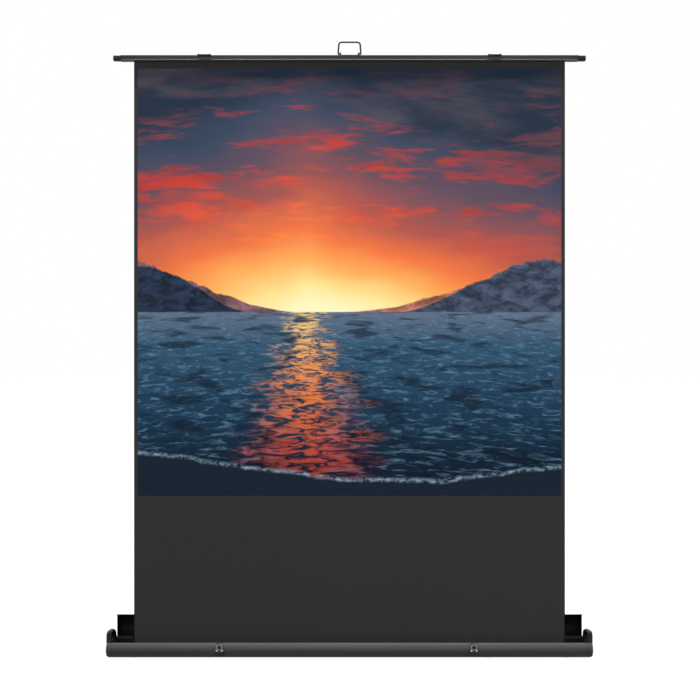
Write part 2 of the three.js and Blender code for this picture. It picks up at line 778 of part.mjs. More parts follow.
// Pull handle: a bent wire that turns in two lugs on a base plate
const handlePivotZ = barTopZ + handlePivotRise;
const handleY = fabricY;
const wireRadius = handleWire / 2;
const lugOuter = handleBaseHalf;
const lugInner = handleBaseHalf - handleLugWidth;
const basePlate = boxAt(
  [-handleBaseHalf, handleBaseHalf],
  [handleBaseFrontY, handleBaseRearY],
  [barTopZ, barTopZ + handleBasePlate],
);
const lugs = Object.values(sides).map((sign) =>
  boxAt(
    [sign * lugInner, sign * lugOuter],
    [handleY - handleLugHalfDepth, handleY + handleLugHalfDepth],
    [barTopZ, barTopZ + handleLugTop],
  ),
);
const lugHoleSpan = [-lugOuter - cutOverrun, lugOuter + cutOverrun];
const lugHole = rodX(lugHoleSpan, handleY, handlePivotZ, wireRadius + pinGap);
addPiece("handle_base", cut(joined(basePlate, ...lugs), lugHole), "darkSteel");
const handleTopZ = barTopZ + handleRise - wireRadius;
const handlePoints = [
  new THREE.Vector3(-lugInner, handleY, handlePivotZ),
  new THREE.Vector3(-handleHalf, handleY, handlePivotZ),
  new THREE.Vector3(-handleTopHalf, handleY, handleTopZ),
  new THREE.Vector3(handleTopHalf, handleY, handleTopZ),
  new THREE.Vector3(handleHalf, handleY, handlePivotZ),
  new THREE.Vector3(lugInner, handleY, handlePivotZ),
];
const handleCorners = [handleCorner, handleTopCorner, handleTopCorner, handleCorner];
addPiece("pull_handle", wire(handlePoints, handleCorners, wireRadius), "darkSteel");

// Lid: an arc shell that stands on its hinge rod, open towards the screen
const lidTopZ = hingeZ + lidChord;
const lidRadius = (lidChord * lidChord) / 8 / lidBulge + lidBulge / 2;
const lidCentreY = hingeY + lidBulge - lidRadius;
const lidCentreZ = hingeZ + lidChord / 2;
const lidSweep = Math.atan2(lidChord / 2, hingeY - lidCentreY);

function lidShellOutline() {
  const outline = new THREE.Shape();
  outline.absarc(lidCentreY, lidCentreZ, lidRadius, -lidSweep, lidSweep, false);
  outline.absarc(lidCentreY, lidCentreZ, lidRadius - lidWall, lidSweep, -lidSweep, true);
  outline.closePath();
  return outline;
}

function lidEndOutline() {
  const outline = new THREE.Shape();
  outline.absarc(lidCentreY, lidCentreZ, lidRadius, -lidSweep, lidSweep, false);
  outline.closePath();
  return outline;
}

const shellHalf = lidHalf - lidEndThick;
const shell = joined(
  prismX(lidShellOutline(), [-shellHalf, shellHalf], roundSides / 2),
  rodX([-shellHalf, shellHalf], hingeY, hingeZ, knuckleRadius, roundSides),
);
const rodBore = rodX([-capOuterX, capOuterX], hingeY, hingeZ, knuckleBore);
addPiece("lid_shell", cut(shell, rodBore), "casePaint");
for (const [side, sign] of Object.entries(sides)) {
  const plate = joined(
    prismX(lidEndOutline(), [sign * shellHalf, sign * lidHalf], roundSides / 2),
    rodX([sign * shellHalf, sign * lidHalf], hingeY, hingeZ, knuckleRadius, roundSides),
    rodX([sign * (lidHalf - pegLength / 2), sign * lidHalf], hingeY, lidTopZ - pegRadius, pegRadius),
  );
  addPiece(`lid_end_${side}`, cut(plate, rodBore), "blackMoulding");
}

const rodEnd = capInnerX + capHollowDepth - seatGap;
addPiece("hinge_rod", rodX([-rodEnd, rodEnd], hingeY, hingeZ, hingeRodRadius), "steel");

// The outer face of the lid at a height
const lidFaceY = (z) => lidCentreY + Math.sqrt(lidRadius * lidRadius - (z - lidCentreZ) * (z - lidCentreZ));

for (const [side, sign] of Object.entries(sides)) {
  const keeperTopZ = lidTopZ - 2 * pegRadius;
  const keeperBottomZ = keeperTopZ - keeperHeight;
  const face = lidFaceY(keeperBottomZ) + seatGap;
  const x = sign * latchX + latchShift;
  const keeper = boxAt(
    [x - keeperHalf, x + keeperHalf],
    [face, face + keeperThick],
    [keeperBottomZ, keeperTopZ],
  );
  addPiece(`latch_keeper_${side}`, keeper, "chrome");
}

// Carry handle on the back of the lid, hanging from two mounts
const carryZ = lidCentreZ + carryMountHeight / 4;
const carryFaceY = lidFaceY(lidCentreZ) + seatGap;
const carryY = carryFaceY + carryMountDepth / 2 + carryRadius / 2;
for (const [side, sign] of Object.entries(sides)) {
  const innerX = sign * (carryHalf + carryRadius + carryMountInnerGap);
  const outerX = innerX + sign * 2 * carryMountHalf;
  const block = boxAt(
    [innerX, outerX],
    [carryFaceY, carryFaceY + carryMountDepth],
    [carryZ - carryMountHeight / 2, carryZ + carryMountHeight / 2],
  );
  const bore = rodX([innerX - sign * cutOverrun, outerX], carryY, carryZ, carryPivotRadius + pinGap);
  addPiece(`carry_mount_${side}`, cut(block, bore), "blackMoulding");
}
const carryPinEnd = carryHalf + carryRadius + carryMountHalf;
const carryPoints = [
  new THREE.Vector3(-carryHalf, carryY, carryZ),
  new THREE.Vector3(-carryHalf, carryY, carryZ - carryDrop),
  new THREE.Vector3(carryHalf, carryY, carryZ - carryDrop),
  new THREE.Vector3(carryHalf, carryY, carryZ),
];
addPiece(
  "carry_handle",
  joined(
    wire(carryPoints, [carryCorner, carryCorner], carryRadius),
    ...Object.values(sides).flatMap((sign) => [
      rodX([sign * (carryHalf - carryRadius), sign * (carryHalf + carryRadius)], carryY, carryZ, carryRadius),
      rodX([sign * carryHalf, sign * carryPinEnd], carryY, carryZ, carryPivotRadius),
    ]),
  ),
  "rubber",
);

// Draw latches: a plate with two ears, a lever below the pivot and a hook above it
const latchPlateY = trayFrontY - seatGap;
const latchFrontY = latchPlateY - latchPlate;
const latchPivotY = trayFrontY - latchPivotOut - seatGap;
for (const [side, sign] of Object.entries(sides)) {
  const x = sign * latchX + latchShift;
  const across = (from, to) => [x + from, x + to];
  const pivotAcross = (half) => across(-half, half);
  const earX = latchHalf - latchEar;
  const plate = boxAt(pivotAcross(latchHalf), [latchFrontY, latchPlateY], [latchBottomZ, latchTopZ]);
  const ears = [-1, 1].map((end) =>
    boxAt(
      across(end * earX, end * latchHalf),
      [latchPivotY - latchBarrel, latchPlateY],
      [latchPivotZ - latchBarrel, latchPivotZ + latchBarrel],
    ),
  );
  const pin = rodX(pivotAcross(latchHalf), latchPivotY, latchPivotZ, latchPin);
  addPiece(`latch_base_${side}`, joined(plate, ...ears, pin), "darkSteel");

  const boreThrough = rodX(pivotAcross(latchHalf), latchPivotY, latchPivotZ, latchPin + pinGap);
  const leverTopZ = latchPivotZ - latchBarrel - runningGap;
  const leverSpanY = [latchPivotY - leverThick / 2, latchPivotY + leverThick / 2];
  const lever = joined(
    rodX(pivotAcross(leverTongueHalf), latchPivotY, latchPivotZ, latchBarrel - seatGap, roundSides),
    boxAt(pivotAcross(leverTongueHalf), leverSpanY, [leverTopZ - leverThick, latchPivotZ]),
    boxAt(pivotAcross(leverHalf), leverSpanY, [latchPivotZ - leverReach, leverTopZ]),
  );
  addPiece(`latch_lever_${side}`, cut(lever, boreThrough), "darkSteel");

  const hookSpanY = [latchPivotY - hookThick / 2, latchPivotY + hookThick / 2];
  const hookTopZ = latchPivotZ + hookReach;
  const barrels = [-1, 1].flatMap((end) => [
    rodX(
      across(end * hookBarrelInner, end * hookBarrelOuter),
      latchPivotY,
      latchPivotZ,
      latchBarrel - seatGap,
      roundSides,
    ),
    boxAt(
      across(end * hookBarrelInner, end * hookBarrelOuter),
      hookSpanY,
      [latchPivotZ, latchPivotZ + 2 * latchBarrel],
    ),
  ]);
  const hook = joined(
    boxAt(pivotAcross(hookBarrelOuter), hookSpanY, [latchPivotZ + latchBarrel + runningGap, hookTopZ]),
    boxAt(
      pivotAcross(hookBarrelOuter),
      [hookSpanY[0], hookSpanY[1] + hookLip],
      [hookTopZ - hookThick, hookTopZ],
    ),
    ...barrels,
  );
  addPiece(`latch_hook_${side}`, cut(hook, boreThrough), "chrome");
}

// Swivel feet, turned in under the tray
for (const [side, sign] of Object.entries(sides)) {
  const x = sign * footPivotX;
  const bar = joined(
    boxAt([x - footHalf, x + footHalf], [-footWidth / 2, footWidth / 2], [footZ, footZ + footThick]),
    rodZ([footZ + footThick / 2, trayBottomZ], x, 0, footBoltRadius),
  );
  addPiece(`foot_bar_${side}`, bar, "darkSteel");
  for (const [end, endSign] of [["inner", -sign], ["outer", sign]]) {
    const start = x + endSign * footHalf;
    const tip = boxAt(
      [start, start + endSign * footTipLength],
      [-footTipWidth / 2, footTipWidth / 2],
      [0, footTipTop],
    );
    addPiece(`foot_tip_${side}_${end}`, tip, "rubber");
  }
}

export default screen;
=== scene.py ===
# Looks of the portable projector screen: finishes, smooth skins over the CAD pieces, cloth, floor, lights
# and camera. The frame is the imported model's: +X along the case, the picture faces -Y, +Z up.
# Lengths are in metres, and in millimetres from "Shapes" to "Small pieces".
import json
import math

import bmesh
import bpy
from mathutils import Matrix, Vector


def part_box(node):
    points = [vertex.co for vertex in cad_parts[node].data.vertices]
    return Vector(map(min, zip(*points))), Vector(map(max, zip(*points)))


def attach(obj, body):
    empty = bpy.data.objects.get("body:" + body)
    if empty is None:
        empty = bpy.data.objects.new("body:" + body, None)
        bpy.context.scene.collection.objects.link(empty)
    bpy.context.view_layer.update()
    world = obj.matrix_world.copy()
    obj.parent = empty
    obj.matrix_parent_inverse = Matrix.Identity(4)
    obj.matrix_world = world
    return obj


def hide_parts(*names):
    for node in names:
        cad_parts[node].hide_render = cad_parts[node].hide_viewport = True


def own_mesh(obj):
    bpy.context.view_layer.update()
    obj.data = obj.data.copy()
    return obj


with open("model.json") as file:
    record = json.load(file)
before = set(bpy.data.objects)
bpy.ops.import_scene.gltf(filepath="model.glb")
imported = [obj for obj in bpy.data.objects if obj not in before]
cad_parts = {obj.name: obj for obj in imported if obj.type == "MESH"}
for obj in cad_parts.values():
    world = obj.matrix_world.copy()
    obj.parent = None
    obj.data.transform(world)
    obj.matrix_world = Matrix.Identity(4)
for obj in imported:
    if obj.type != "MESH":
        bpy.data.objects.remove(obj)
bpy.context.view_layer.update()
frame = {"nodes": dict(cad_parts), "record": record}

MM = 0.001
BODY_OF = {node: body for body, nodes in frame["record"]["behaviour"]["bodies"].items() for node in nodes}
SLOT_OF = {part["node"]: part["material_slot"] for part in frame["record"]["subparts"]}
SIDES = {"left": -1, "right": 1}
CLOTH_NODE = "screen_fabric"


# Node graphs

SHADER_SOCKETS = {
    "base": "Base Color",
    "rough": "Roughness",
    "metal": "Metallic",
    "specular": "Specular IOR Level",
    "ior": "IOR",
}


class Nodes:
    """A node tree whose nodes are added by short calls. Most of them give back an output socket."""

    def __init__(self, tree):
        self.tree = tree

    def add(self, kind, inputs=None, **settings):
        node = self.tree.nodes.new(kind)
        for key, value in settings.items():
            setattr(node, key, value)
        for key, value in (inputs or {}).items():
            self.feed(node.inputs[key], value)
        return node

    def feed(self, socket, value):
        if isinstance(value, bpy.types.NodeSocket):
            self.tree.links.new(value, socket)
        elif isinstance(value, tuple) and len(value) == 3 and socket.type == "RGBA":
            socket.default_value = (*value, 1)
        else:
            socket.default_value = value

    def math(self, operation, a, b=0.0):
        return self.add("ShaderNodeMath", {0: a, 1: b}, operation=operation).outputs[0]

    def plus(self, a, b):
        return self.math("ADD", a, b)

    def minus(self, a, b):
        return self.math("SUBTRACT", a, b)

    def times(self, a, b):
        return self.math("MULTIPLY", a, b)

    def spread(self, value, low, high, to_low=0.0, to_high=1.0, smooth=False):
        """The value moved from one range to another, and held inside it."""
        kind = "SMOOTHSTEP" if smooth else "LINEAR"
        inputs = {"Value": value, "From Min": low, "From Max": high, "To Min": to_low, "To Max": to_high}
        return self.add("ShaderNodeMapRange", inputs, interpolation_type=kind, clamp=True).outputs[0]

    def mix(self, share, a, b):
        """Colour a at a share of 0 and colour b at 1."""
        node = self.add("ShaderNodeMix", data_type="RGBA")
        for colour_socket, value in zip((0, 6, 7), (share, a, b)):
            self.feed(node.inputs[colour_socket], value)
        return node.outputs[2]

    def ramp(self, value, *stops):
        node = self.add("ShaderNodeValToRGB", {0: value})
        elements = node.color_ramp.elements
        while len(elements) < len(stops):
            elements.new(0.5)
        for element, (place, colour) in zip(elements, stops):
            element.position = place
            element.color = (*colour, 1)
        return node.outputs[0]

    def seen(self):
        """1 for what the camera sees, also mirrored or through glass, and 0 for what lights."""
        path = self.add("ShaderNodeLightPath").outputs
        seen = self.math("MAXIMUM", path["Is Camera Ray"], path["Is Glossy Ray"])
        return self.math("MAXIMUM", seen, path["Is Transmission Ray"])


class Graph(Nodes):
    """A material's nodes, round its Principled shader."""

    def __init__(self, name):
        self.material = bpy.data.materials.new(name)
        self.material.use_nodes = True
        super().__init__(self.material.node_tree)
        self.shader = self.tree.nodes["Principled BSDF"]
        self.place = self.add("ShaderNodeTexCoord").outputs["Object"]

    def scaled(self, *scale):
        """The place, with its axes scaled."""
        return self.add("ShaderNodeMapping", {"Vector": self.place, "Scale": scale}).outputs[0]

    def noise(self, vector, scale, detail=3.0, roughness=0.5, distortion=0.0):
        inputs = {"Vector": vector, "Scale": scale, "Detail": detail}
        inputs |= {"Roughness": roughness, "Distortion": distortion}
        return self.add("ShaderNodeTexNoise", inputs).outputs["Fac"]

    def set(self, **values):
        for key, value in values.items():
            self.feed(self.shader.inputs[SHADER_SOCKETS[key]], value)

    def bump(self, height, strength, distance, below=None):
        inputs = {"Height": height, "Strength": strength, "Distance": distance}
        if below is not None:
            inputs["Normal"] = below
        normal = self.add("ShaderNodeBump", inputs).outputs[0]
        self.feed(self.shader.inputs["Normal"], normal)
        return normal


def rgb(*levels):
    """A colour as it shows on screen, 0 to 255, turned into linear light by the sRGB curve."""
    shares = [level / 255 for level in levels]
    return tuple(c / 12.92 if c <= 0.04045 else ((c + 0.055) / 1.055) ** 2.4 for c in shares)


def grey(level):
    return rgb(level, level, level)


# Finishes: the level is the grey that shows on screen

def anodised(name, level, rough, gloss):
    """Extruded aluminium: fine drawing streaks along X, a soft grain and faint handling marks."""
    g = Graph(name)
    streaks = g.noise(g.scaled(3, 900, 900), 1.0, detail=4.0, roughness=0.6)
    grain = g.noise(g.place, 1600.0, detail=2.0)
    marks = g.noise(g.scaled(2.5, 14, 14), 2.0, detail=5.0, roughness=0.62)
    worn = g.spread(marks, 0.42, 0.72)
    tone = g.mix(g.spread(streaks, 0.3, 0.7), grey(level * 0.88), grey(level * 1.1))
    drawn = g.spread(streaks, 0.2, 0.8, rough - 0.05, rough + 0.05)
    g.set(base=tone, rough=g.plus(drawn, g.spread(worn, 0, 1, 0, 0.07)), specular=gloss)
    first = g.bump(streaks, 0.1, 0.2 * MM)
    g.bump(grain, 0.1, 0.1 * MM, first)
    return g.material


MOULD_GRAIN = 1100.0


def moulded(name, level, rough):
    """Injection-moulded plastic: spark-eroded grain, slightly glossier where it is handled."""
    g = Graph(name)
    grain = g.noise(g.place, MOULD_GRAIN, detail=4.0, roughness=0.6)
    pores = {"Vector": g.place, "Scale": MOULD_GRAIN * 0.8}
    cells = g.add("ShaderNodeTexVoronoi", pores).outputs["Distance"]
    wear = g.noise(g.place, 22.0, detail=5.0, roughness=0.6)
    tone = g.mix(g.spread(wear, 0.35, 0.7), grey(level * 0.93), grey(level * 1.08))
    g.set(base=tone, rough=g.spread(wear, 0.3, 0.7, rough - 0.06, rough + 0.06), specular=0.11)
    first = g.bump(grain, 0.2, 0.2 * MM)
    g.bump(cells, 0.12, 0.2 * MM, first)
    return g.material


def plated(name, level, rough):
    """Zinc, blackened or chrome plate over pressed steel: faint clouding, smears and rolling lines."""
    g = Graph(name)
    cloud = g.noise(g.place, 60.0, detail=4.0, roughness=0.6)
    lines = g.noise(g.scaled(40, 1200, 1200), 1.0, detail=3.0)
    tone = g.mix(g.spread(cloud, 0.3, 0.7), grey(level * 0.9), grey(level * 1.05))
    smeared = g.spread(cloud, 0.3, 0.75, rough * 0.75, rough * 1.25)
    g.set(base=tone, rough=g.plus(smeared, g.spread(lines, 0, 1, 0, 0.03)), metal=1.0)
    g.bump(lines, 0.08, 0.1 * MM)
    return g.material


def painted(name, level, rough):
    """Powder coat: fine orange peel with a little dust in it."""
    g = Graph(name)
    peel = g.noise(g.place, 420.0, detail=2.0)
    dust = g.noise(g.place, 35.0, detail=6.0, roughness=0.7)
    tone = g.mix(g.spread(dust, 0.45, 0.8), grey(level), grey(level * 1.25))
    g.set(base=tone, rough=g.spread(dust, 0.3, 0.8, rough - 0.04, rough + 0.08), specular=0.15)
    g.bump(peel, 0.14, 0.3 * MM)
    return g.material


def rubbery(name, level):
    """Moulded rubber: dull, finely pitted, greyer where it is rubbed."""
    g = Graph(name)
    pits = g.noise(g.place, 900.0, detail=5.0, roughness=0.7)
    rub = g.noise(g.place, 50.0, detail=4.0, roughness=0.6)
    tone = g.mix(g.spread(rub, 0.4, 0.75), grey(level), grey(level * 1.4))
    g.set(base=tone, rough=g.spread(rub, 0.3, 0.7, 0.72, 0.88), ior=1.5)
    g.bump(pits, 0.3, 0.4 * MM)
    return g.material


WEAVE_SCALE = 130.0


def weave(g):
    """The over-and-under of a fine coated cloth, as a height."""
    inputs = {"Vector": g.place, "Scale": WEAVE_SCALE}
    across, along = (g.add("ShaderNodeTexWave", inputs, bands_direction=way).outputs["Fac"] for way in "XZ")
    return g.times(across, along)


def black_cloth(name, level):
    """The matte black coat of the drop, the border and the back."""
    g = Graph(name)
    slub = g.noise(g.scaled(30, 30, 4), 6.0, detail=4.0, roughness=0.6)
    haze = g.noise(g.scaled(1.2, 1, 0.9), 1.5, detail=2.0)
    tone = g.mix(g.spread(slub, 0.3, 0.7), grey(level * 0.97), grey(level * 1.03))
    g.set(base=g.mix(g.spread(haze, 0.35, 0.7, 0, 0.3), tone, grey(level * 1.05)), rough=0.9, specular=0.12)
    g.bump(weave(g), 0.12, 0.2 * MM)
    return g.material


# The picture: a quiet bay at dusk, drawn by formula. u runs from left to right and v from bottom to top,
# both 0 to 1.

HORIZON = 0.43
SUN_U = 0.4
SHORES = (
    # Furthest first: height over the horizon, swell, waves, their phase, u from flat to full height, colour
    (0.075, 0.02, 8.0, 0.4, (0.46, 0.9), rgb(186, 116, 100)),
    (0.1, 0.025, 7.0, 2.4, (0.4, 0.0), rgb(128, 92, 100)),
    (0.12, 0.03, 6.0, 3.6, (0.6, 1.0), rgb(70, 82, 104)),
    (0.15, 0.035, 9.0, 5.2, (0.27, -0.05), rgb(38, 52, 74)),
)
CRAGS = 0.06
SHORE_EDGE = 0.003
HORIZON_EDGE = 0.0012
BEACH = 0.07
BEACH_EDGE = 0.004


class Scenery(Graph):
    """A graph that also knows where it is in the picture, whose corners are low and high."""

    def __init__(self, name, low, high):
        super().__init__(name)
        split = self.add("ShaderNodeSeparateXYZ", {0: self.place})
        self.u = self.spread(split.outputs["X"], low.x, high.x)
        self.v = self.spread(split.outputs["Z"], low.z, high.z)
        self.flat = self.add("ShaderNodeCombineXYZ", {"X": self.u, "Y": self.v}).outputs[0]

    def stretched(self, su, sv, shift=0.0):
        inputs = {"Vector": self.flat, "Scale": (su, sv, 1), "Location": (shift, shift, shift)}
        return self.add("ShaderNodeMapping", inputs).outputs[0]

    def swing(self, noise, reach):
        """A noise that goes as far below zero as above it."""
        return self.times(self.minus(noise, 0.5), reach)


def draw_sky(g):
    """A warm glow low down that cools to slate above and to the sides, and how far it has cooled."""
    aside = g.times(g.math("ABSOLUTE", g.minus(g.u, SUN_U)), 0.55)
    drift = g.swing(g.noise(g.stretched(1.3, 2.4), 1.5, detail=3.0), 0.35)
    cooled = g.plus(g.plus(g.spread(g.v, HORIZON, 1.0), aside), drift)
    sky = g.ramp(
        cooled,
        (0.0, rgb(255, 246, 196)),
        (0.09, rgb(255, 226, 146)),
        (0.2, rgb(252, 176, 92)),
        (0.34, rgb(236, 116, 64)),
        (0.5, rgb(172, 84, 74)),
        (0.68, rgb(96, 74, 88)),
        (0.85, rgb(52, 66, 88)),
        (1.0, rgb(30, 44, 62)),
    )
    return sky, cooled


def draw_clouds(g, sky, cooled):
    """Grey banks high up, and thin torn streaks that catch the red light."""
    banks = g.noise(g.stretched(1.4, 4.6, 5.3), 1.6, detail=8.0, roughness=0.6, distortion=0.3)
    bank = g.times(g.spread(banks, 0.44, 0.62, smooth=True), g.spread(g.v, HORIZON + 0.2, HORIZON + 0.45))
    sky = g.mix(g.times(bank, 0.75), sky, g.mix(banks, rgb(30, 36, 50), rgb(96, 88, 98)))
    bands = g.noise(g.stretched(1.6, 7.5, 3.1), 1.7, detail=9.0, roughness=0.62, distortion=0.45)
    veil = g.noise(g.stretched(3.2, 17.0, 7.7), 2.6, detail=9.0, roughness=0.66, distortion=0.7)
    torn = g.plus(g.times(bands, 0.6), g.times(veil, 0.4))
    high_up = g.times(g.spread(g.v, HORIZON + 0.08, HORIZON + 0.3), g.spread(g.v, 1.04, 0.86))
    cover = g.times(g.spread(torn, 0.49, 0.6, smooth=True), high_up)
    lit = g.ramp(
        cooled,
        (0.2, rgb(255, 170, 84)),
        (0.45, rgb(250, 92, 46)),
        (0.7, rgb(196, 58, 44)),
        (1.0, rgb(92, 60, 72)),
    )
    sky = g.mix(g.times(cover, 0.9), sky, lit)
    bellies = g.noise(g.stretched(2.2, 9.0, 1.2), 3.2, detail=8.0, roughness=0.66)
    belly = g.times(cover, g.spread(bellies, 0.46, 0.66))
    return g.mix(g.times(belly, 0.6), sky, rgb(84, 50, 58))


def draw_shores(g, land):
    """Low rounded headlands on both sides, hazier the further they lie."""
    grass = g.noise(g.stretched(14, 26), 1.6, detail=12.0, roughness=0.7, distortion=0.4)
    grassy = g.spread(grass, 0.42, 0.6)
    for height, swell, waves, phase, rise, colour in SHORES:
        wave = g.times(g.math("SINE", g.plus(g.times(g.u, waves), phase)), swell)
        crags = g.swing(g.noise(g.stretched(9, 0.0, phase), 1.8, detail=10.0, roughness=0.62), CRAGS)
        top = g.times(g.plus(g.plus(wave, height), crags), g.spread(g.u, *rise, smooth=True))
        under = g.spread(g.minus(g.plus(top, HORIZON), g.v), 0.0, SHORE_EDGE)
        shade = g.mix(grassy, tuple(c * 0.4 for c in colour), tuple(c * 1.25 for c in colour))
        land = g.mix(under, land, shade)
    return land


def draw_water(g):
    """Slate blue, darker towards the viewer, with long ripples that break the path of light."""
    depth = g.spread(g.v, HORIZON, 0.0)
    aside = g.minus(g.u, SUN_U)
    ripple_u = g.times(aside, g.spread(depth, 0, 1, 30.0, 8.0))
    ripple_v = g.times(g.math("POWER", g.plus(depth, 0.05), 0.55), 46.0)
    ripple_space = g.add("ShaderNodeCombineXYZ", {"X": ripple_u, "Y": ripple_v}).outputs[0]
    ripples = g.noise(ripple_space, 1.5, detail=5.0, roughness=0.62, distortion=0.9)
    swells = g.noise(ripple_space, 0.45, detail=3.0, roughness=0.5, distortion=0.6)
    water = g.ramp(
        depth,
        (0.0, rgb(92, 108, 130)),
        (0.18, rgb(48, 82, 108)),
        (0.5, rgb(26, 58, 84)),
        (0.8, rgb(10, 30, 50)),
        (1.0, rgb(5, 17, 32)),
    )
    water = g.mix(g.times(g.spread(ripples, 0.5, 0.68, smooth=True), 0.5), water, rgb(108, 148, 172))
    water = g.mix(g.times(g.spread(swells, 0.5, 0.34, smooth=True), 0.65), water, rgb(6, 16, 30))
    off_path = g.math("ABSOLUTE", g.plus(aside, g.swing(swells, 0.2)))
    width = g.spread(depth, 0.0, 1.0, 0.05, 0.24)
    glow = g.spread(g.math("DIVIDE", off_path, width), 1.0, 0.0, smooth=True)
    broken = g.times(glow, g.spread(ripples, 0.42, 0.56, smooth=True))
    warm = g.ramp(
        depth,
        (0.0, rgb(255, 214, 126)),
        (0.35, rgb(246, 142, 66)),
        (0.75, rgb(196, 74, 52)),
        (1.0, rgb(94, 44, 50)),
    )
    return g.mix(g.times(broken, 0.92), water, warm)


def draw_beach(g, water):
    """Smooth wet sand at the near shore, in one long curve, with foam along it."""
    bow = g.times(g.math("SINE", g.plus(g.times(g.u, 4.2), 2.1)), 0.035)
    wobble = g.swing(g.noise(g.stretched(7, 7), 1.3, detail=4.0), 0.03)
    line = g.plus(g.plus(bow, BEACH), wobble)
    grains = g.noise(g.stretched(90, 140), 1.4, detail=5.0, roughness=0.6)
    sand = g.mix(grains, rgb(4, 12, 24), rgb(30, 44, 60))
    water = g.mix(g.spread(g.minus(line, g.v), 0.0, BEACH_EDGE), water, sand)
    foam = g.spread(g.math("ABSOLUTE", g.minus(g.v, line)), 2 * BEACH_EDGE, 0.0, smooth=True)
    lace = g.spread(g.noise(g.stretched(40, 60), 1.6, detail=5.0, roughness=0.7), 0.42, 0.62)
    return g.mix(g.times(g.times(foam, lace), 0.8), water, rgb(150, 180, 198))


def picture_cloth(name, low, high):
    g = Scenery(name, low, high)
    land = draw_shores(g, draw_clouds(g, *draw_sky(g)))
    water = draw_beach(g, draw_water(g))
    g.set(base=g.mix(g.spread(g.v, HORIZON - HORIZON_EDGE, HORIZON + HORIZON_EDGE), water, land))
    g.set(rough=0.85, specular=0.1)
    g.bump(weave(g), 0.05, 0.2 * MM)
    return g.material


FABRIC_LOW, FABRIC_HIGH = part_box(CLOTH_NODE)
BORDER = 13 * MM
PICTURE_BOTTOM = 0.5815
PICTURE_TOP = 2.1245
PICTURE_LOW = Vector((FABRIC_LOW.x + BORDER, 0, PICTURE_BOTTOM))
PICTURE_HIGH = Vector((FABRIC_HIGH.x - BORDER, 0, PICTURE_TOP))

FINISH = {
    "case_paint": anodised("case_paint_look", 60, 0.44, 0.05),
    "bar_paint": anodised("bar_paint_look", 53, 0.36, 0.12),
    "arm_paint": painted("arm_paint_look", 50, 0.4),
    "black_moulding": moulded("black_moulding_look", 23, 0.55),
    "silver_cover": moulded("silver_cover_look", 172, 0.42),
    "roller_tube": plated("roller_tube_look", 112, 0.4),
    "steel": plated("steel_look", 128, 0.4),
    "dark_steel": painted("dark_steel_look", 30, 0.4),
    "chrome": plated("chrome_look", 104, 0.42),
    "rubber": rubbery("rubber_look", 26),
    "fabric": black_cloth("fabric_look", 47),
}
PICTURE = picture_cloth("picture_look", PICTURE_LOW, PICTURE_HIGH)
EDGE = black_cloth("cloth_edge_look", 22)
# Painted shade: the tray's and lid's inner faces get this darker copy of the case paint in place of the
# shade that falls inside them.
INSIDE_SHADE = anodised("case_inside_painted_shade_look", 11, 0.6, 0.08)
BACKING = black_cloth("cloth_back_look", 28)
WIRE = painted("wire_look", 14, 0.55)


# Objects

BEVEL_SEGMENTS = 2
BEVEL_ANGLE = math.radians(38)
SMOOTH_ANGLE = math.radians(35)
FLAT_ANGLE = math.radians(0.5)
SKIN_WELD = 0.001 * MM
SHAPE_WELD = 0.002 * MM

dressed = set()


def linked(name, data):
    """A new object in the scene."""
    thing = bpy.data.objects.new(name, data)
    bpy.context.scene.collection.objects.link(thing)
    return thing


def evaluated(holder):
    """The mesh that an object's modifiers make."""
    bpy.context.view_layer.update()
    return bpy.data.meshes.new_from_object(holder.evaluated_get(bpy.context.evaluated_depsgraph_get()))


def link_in(name, mesh, node, slot=None):
    """A piece that stands for a CAD node, on the node's body."""
    thing = linked(name, mesh)
    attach(thing, BODY_OF[node])
    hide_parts(node)
    slot = slot or SLOT_OF[node]
    if not mesh.materials:
        mesh.materials.append(FINISH[slot])
    dressed.add(node)
    return thing


def smooth(mesh):
    mesh.shade_smooth()
    mesh.set_sharp_from_angle(angle=SMOOTH_ANGLE)


def finished(mesh, bevel):
    """A bevel, in millimetres, on every sharp edge, then smooth faces."""
    holder = linked("holder", mesh)
    if bevel:
        rounder = holder.modifiers.new("round", "BEVEL")
        rounder.width = bevel * MM
        rounder.segments = BEVEL_SEGMENTS
        rounder.limit_method = "ANGLE"
        rounder.angle_limit = BEVEL_ANGLE
        rounder.use_clamp_overlap = True
    result = evaluated(holder)
    bpy.data.objects.remove(holder)
    smooth(result)
    return result


def skin(node, bevel):
    """A copy of a CAD node with its flat faces merged and its edges rounded, which stands for it."""
    form = bmesh.new()
    form.from_mesh(frame["nodes"][node].data)
    bmesh.ops.remove_doubles(form, verts=form.verts, dist=SKIN_WELD)
    bmesh.ops.dissolve_limit(form, angle_limit=FLAT_ANGLE, verts=form.verts, edges=form.edges)
    name = node + "_skin"
    mesh = bpy.data.meshes.new(name)
    form.to_mesh(mesh)
    form.free()
    link_in(name, finished(mesh, bevel), node)


# Shapes: sizes in millimetres, meshes in metres. The two letters of a plane follow the axis that a shape
# runs along, and a span is where it starts and ends on that axis.

PLANES = {"X": (0, 1, 2), "Y": (1, 0, 2), "Z": (2, 0, 1)}
OVERRUN = 1


def size(node):
    """The corners of a CAD node, in millimetres."""
    low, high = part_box(node)
    return low / MM, high / MM


def ends_along_x(node, sign):
    """Where a node of the left or right side starts and ends, as seen from the middle."""
    low, high = size(node)
    return (low.x, high.x) if sign > 0 else (high.x, low.x)


def placed(axis, along, u, v):
    point = [0, 0, 0]
    for index, value in zip(PLANES[axis], (along, u, v)):
        point[index] = value * MM
    return point


def mesh_of(verts, faces):
    mesh = bpy.data.meshes.new("shape")
    mesh.from_pydata(verts, [], faces)
    form = bmesh.new()
    form.from_mesh(mesh)
    bmesh.ops.remove_doubles(form, verts=form.verts, dist=SHAPE_WELD)
    bmesh.ops.recalc_face_normals(form, faces=form.faces)
    form.to_mesh(mesh)
    form.free()
    return mesh


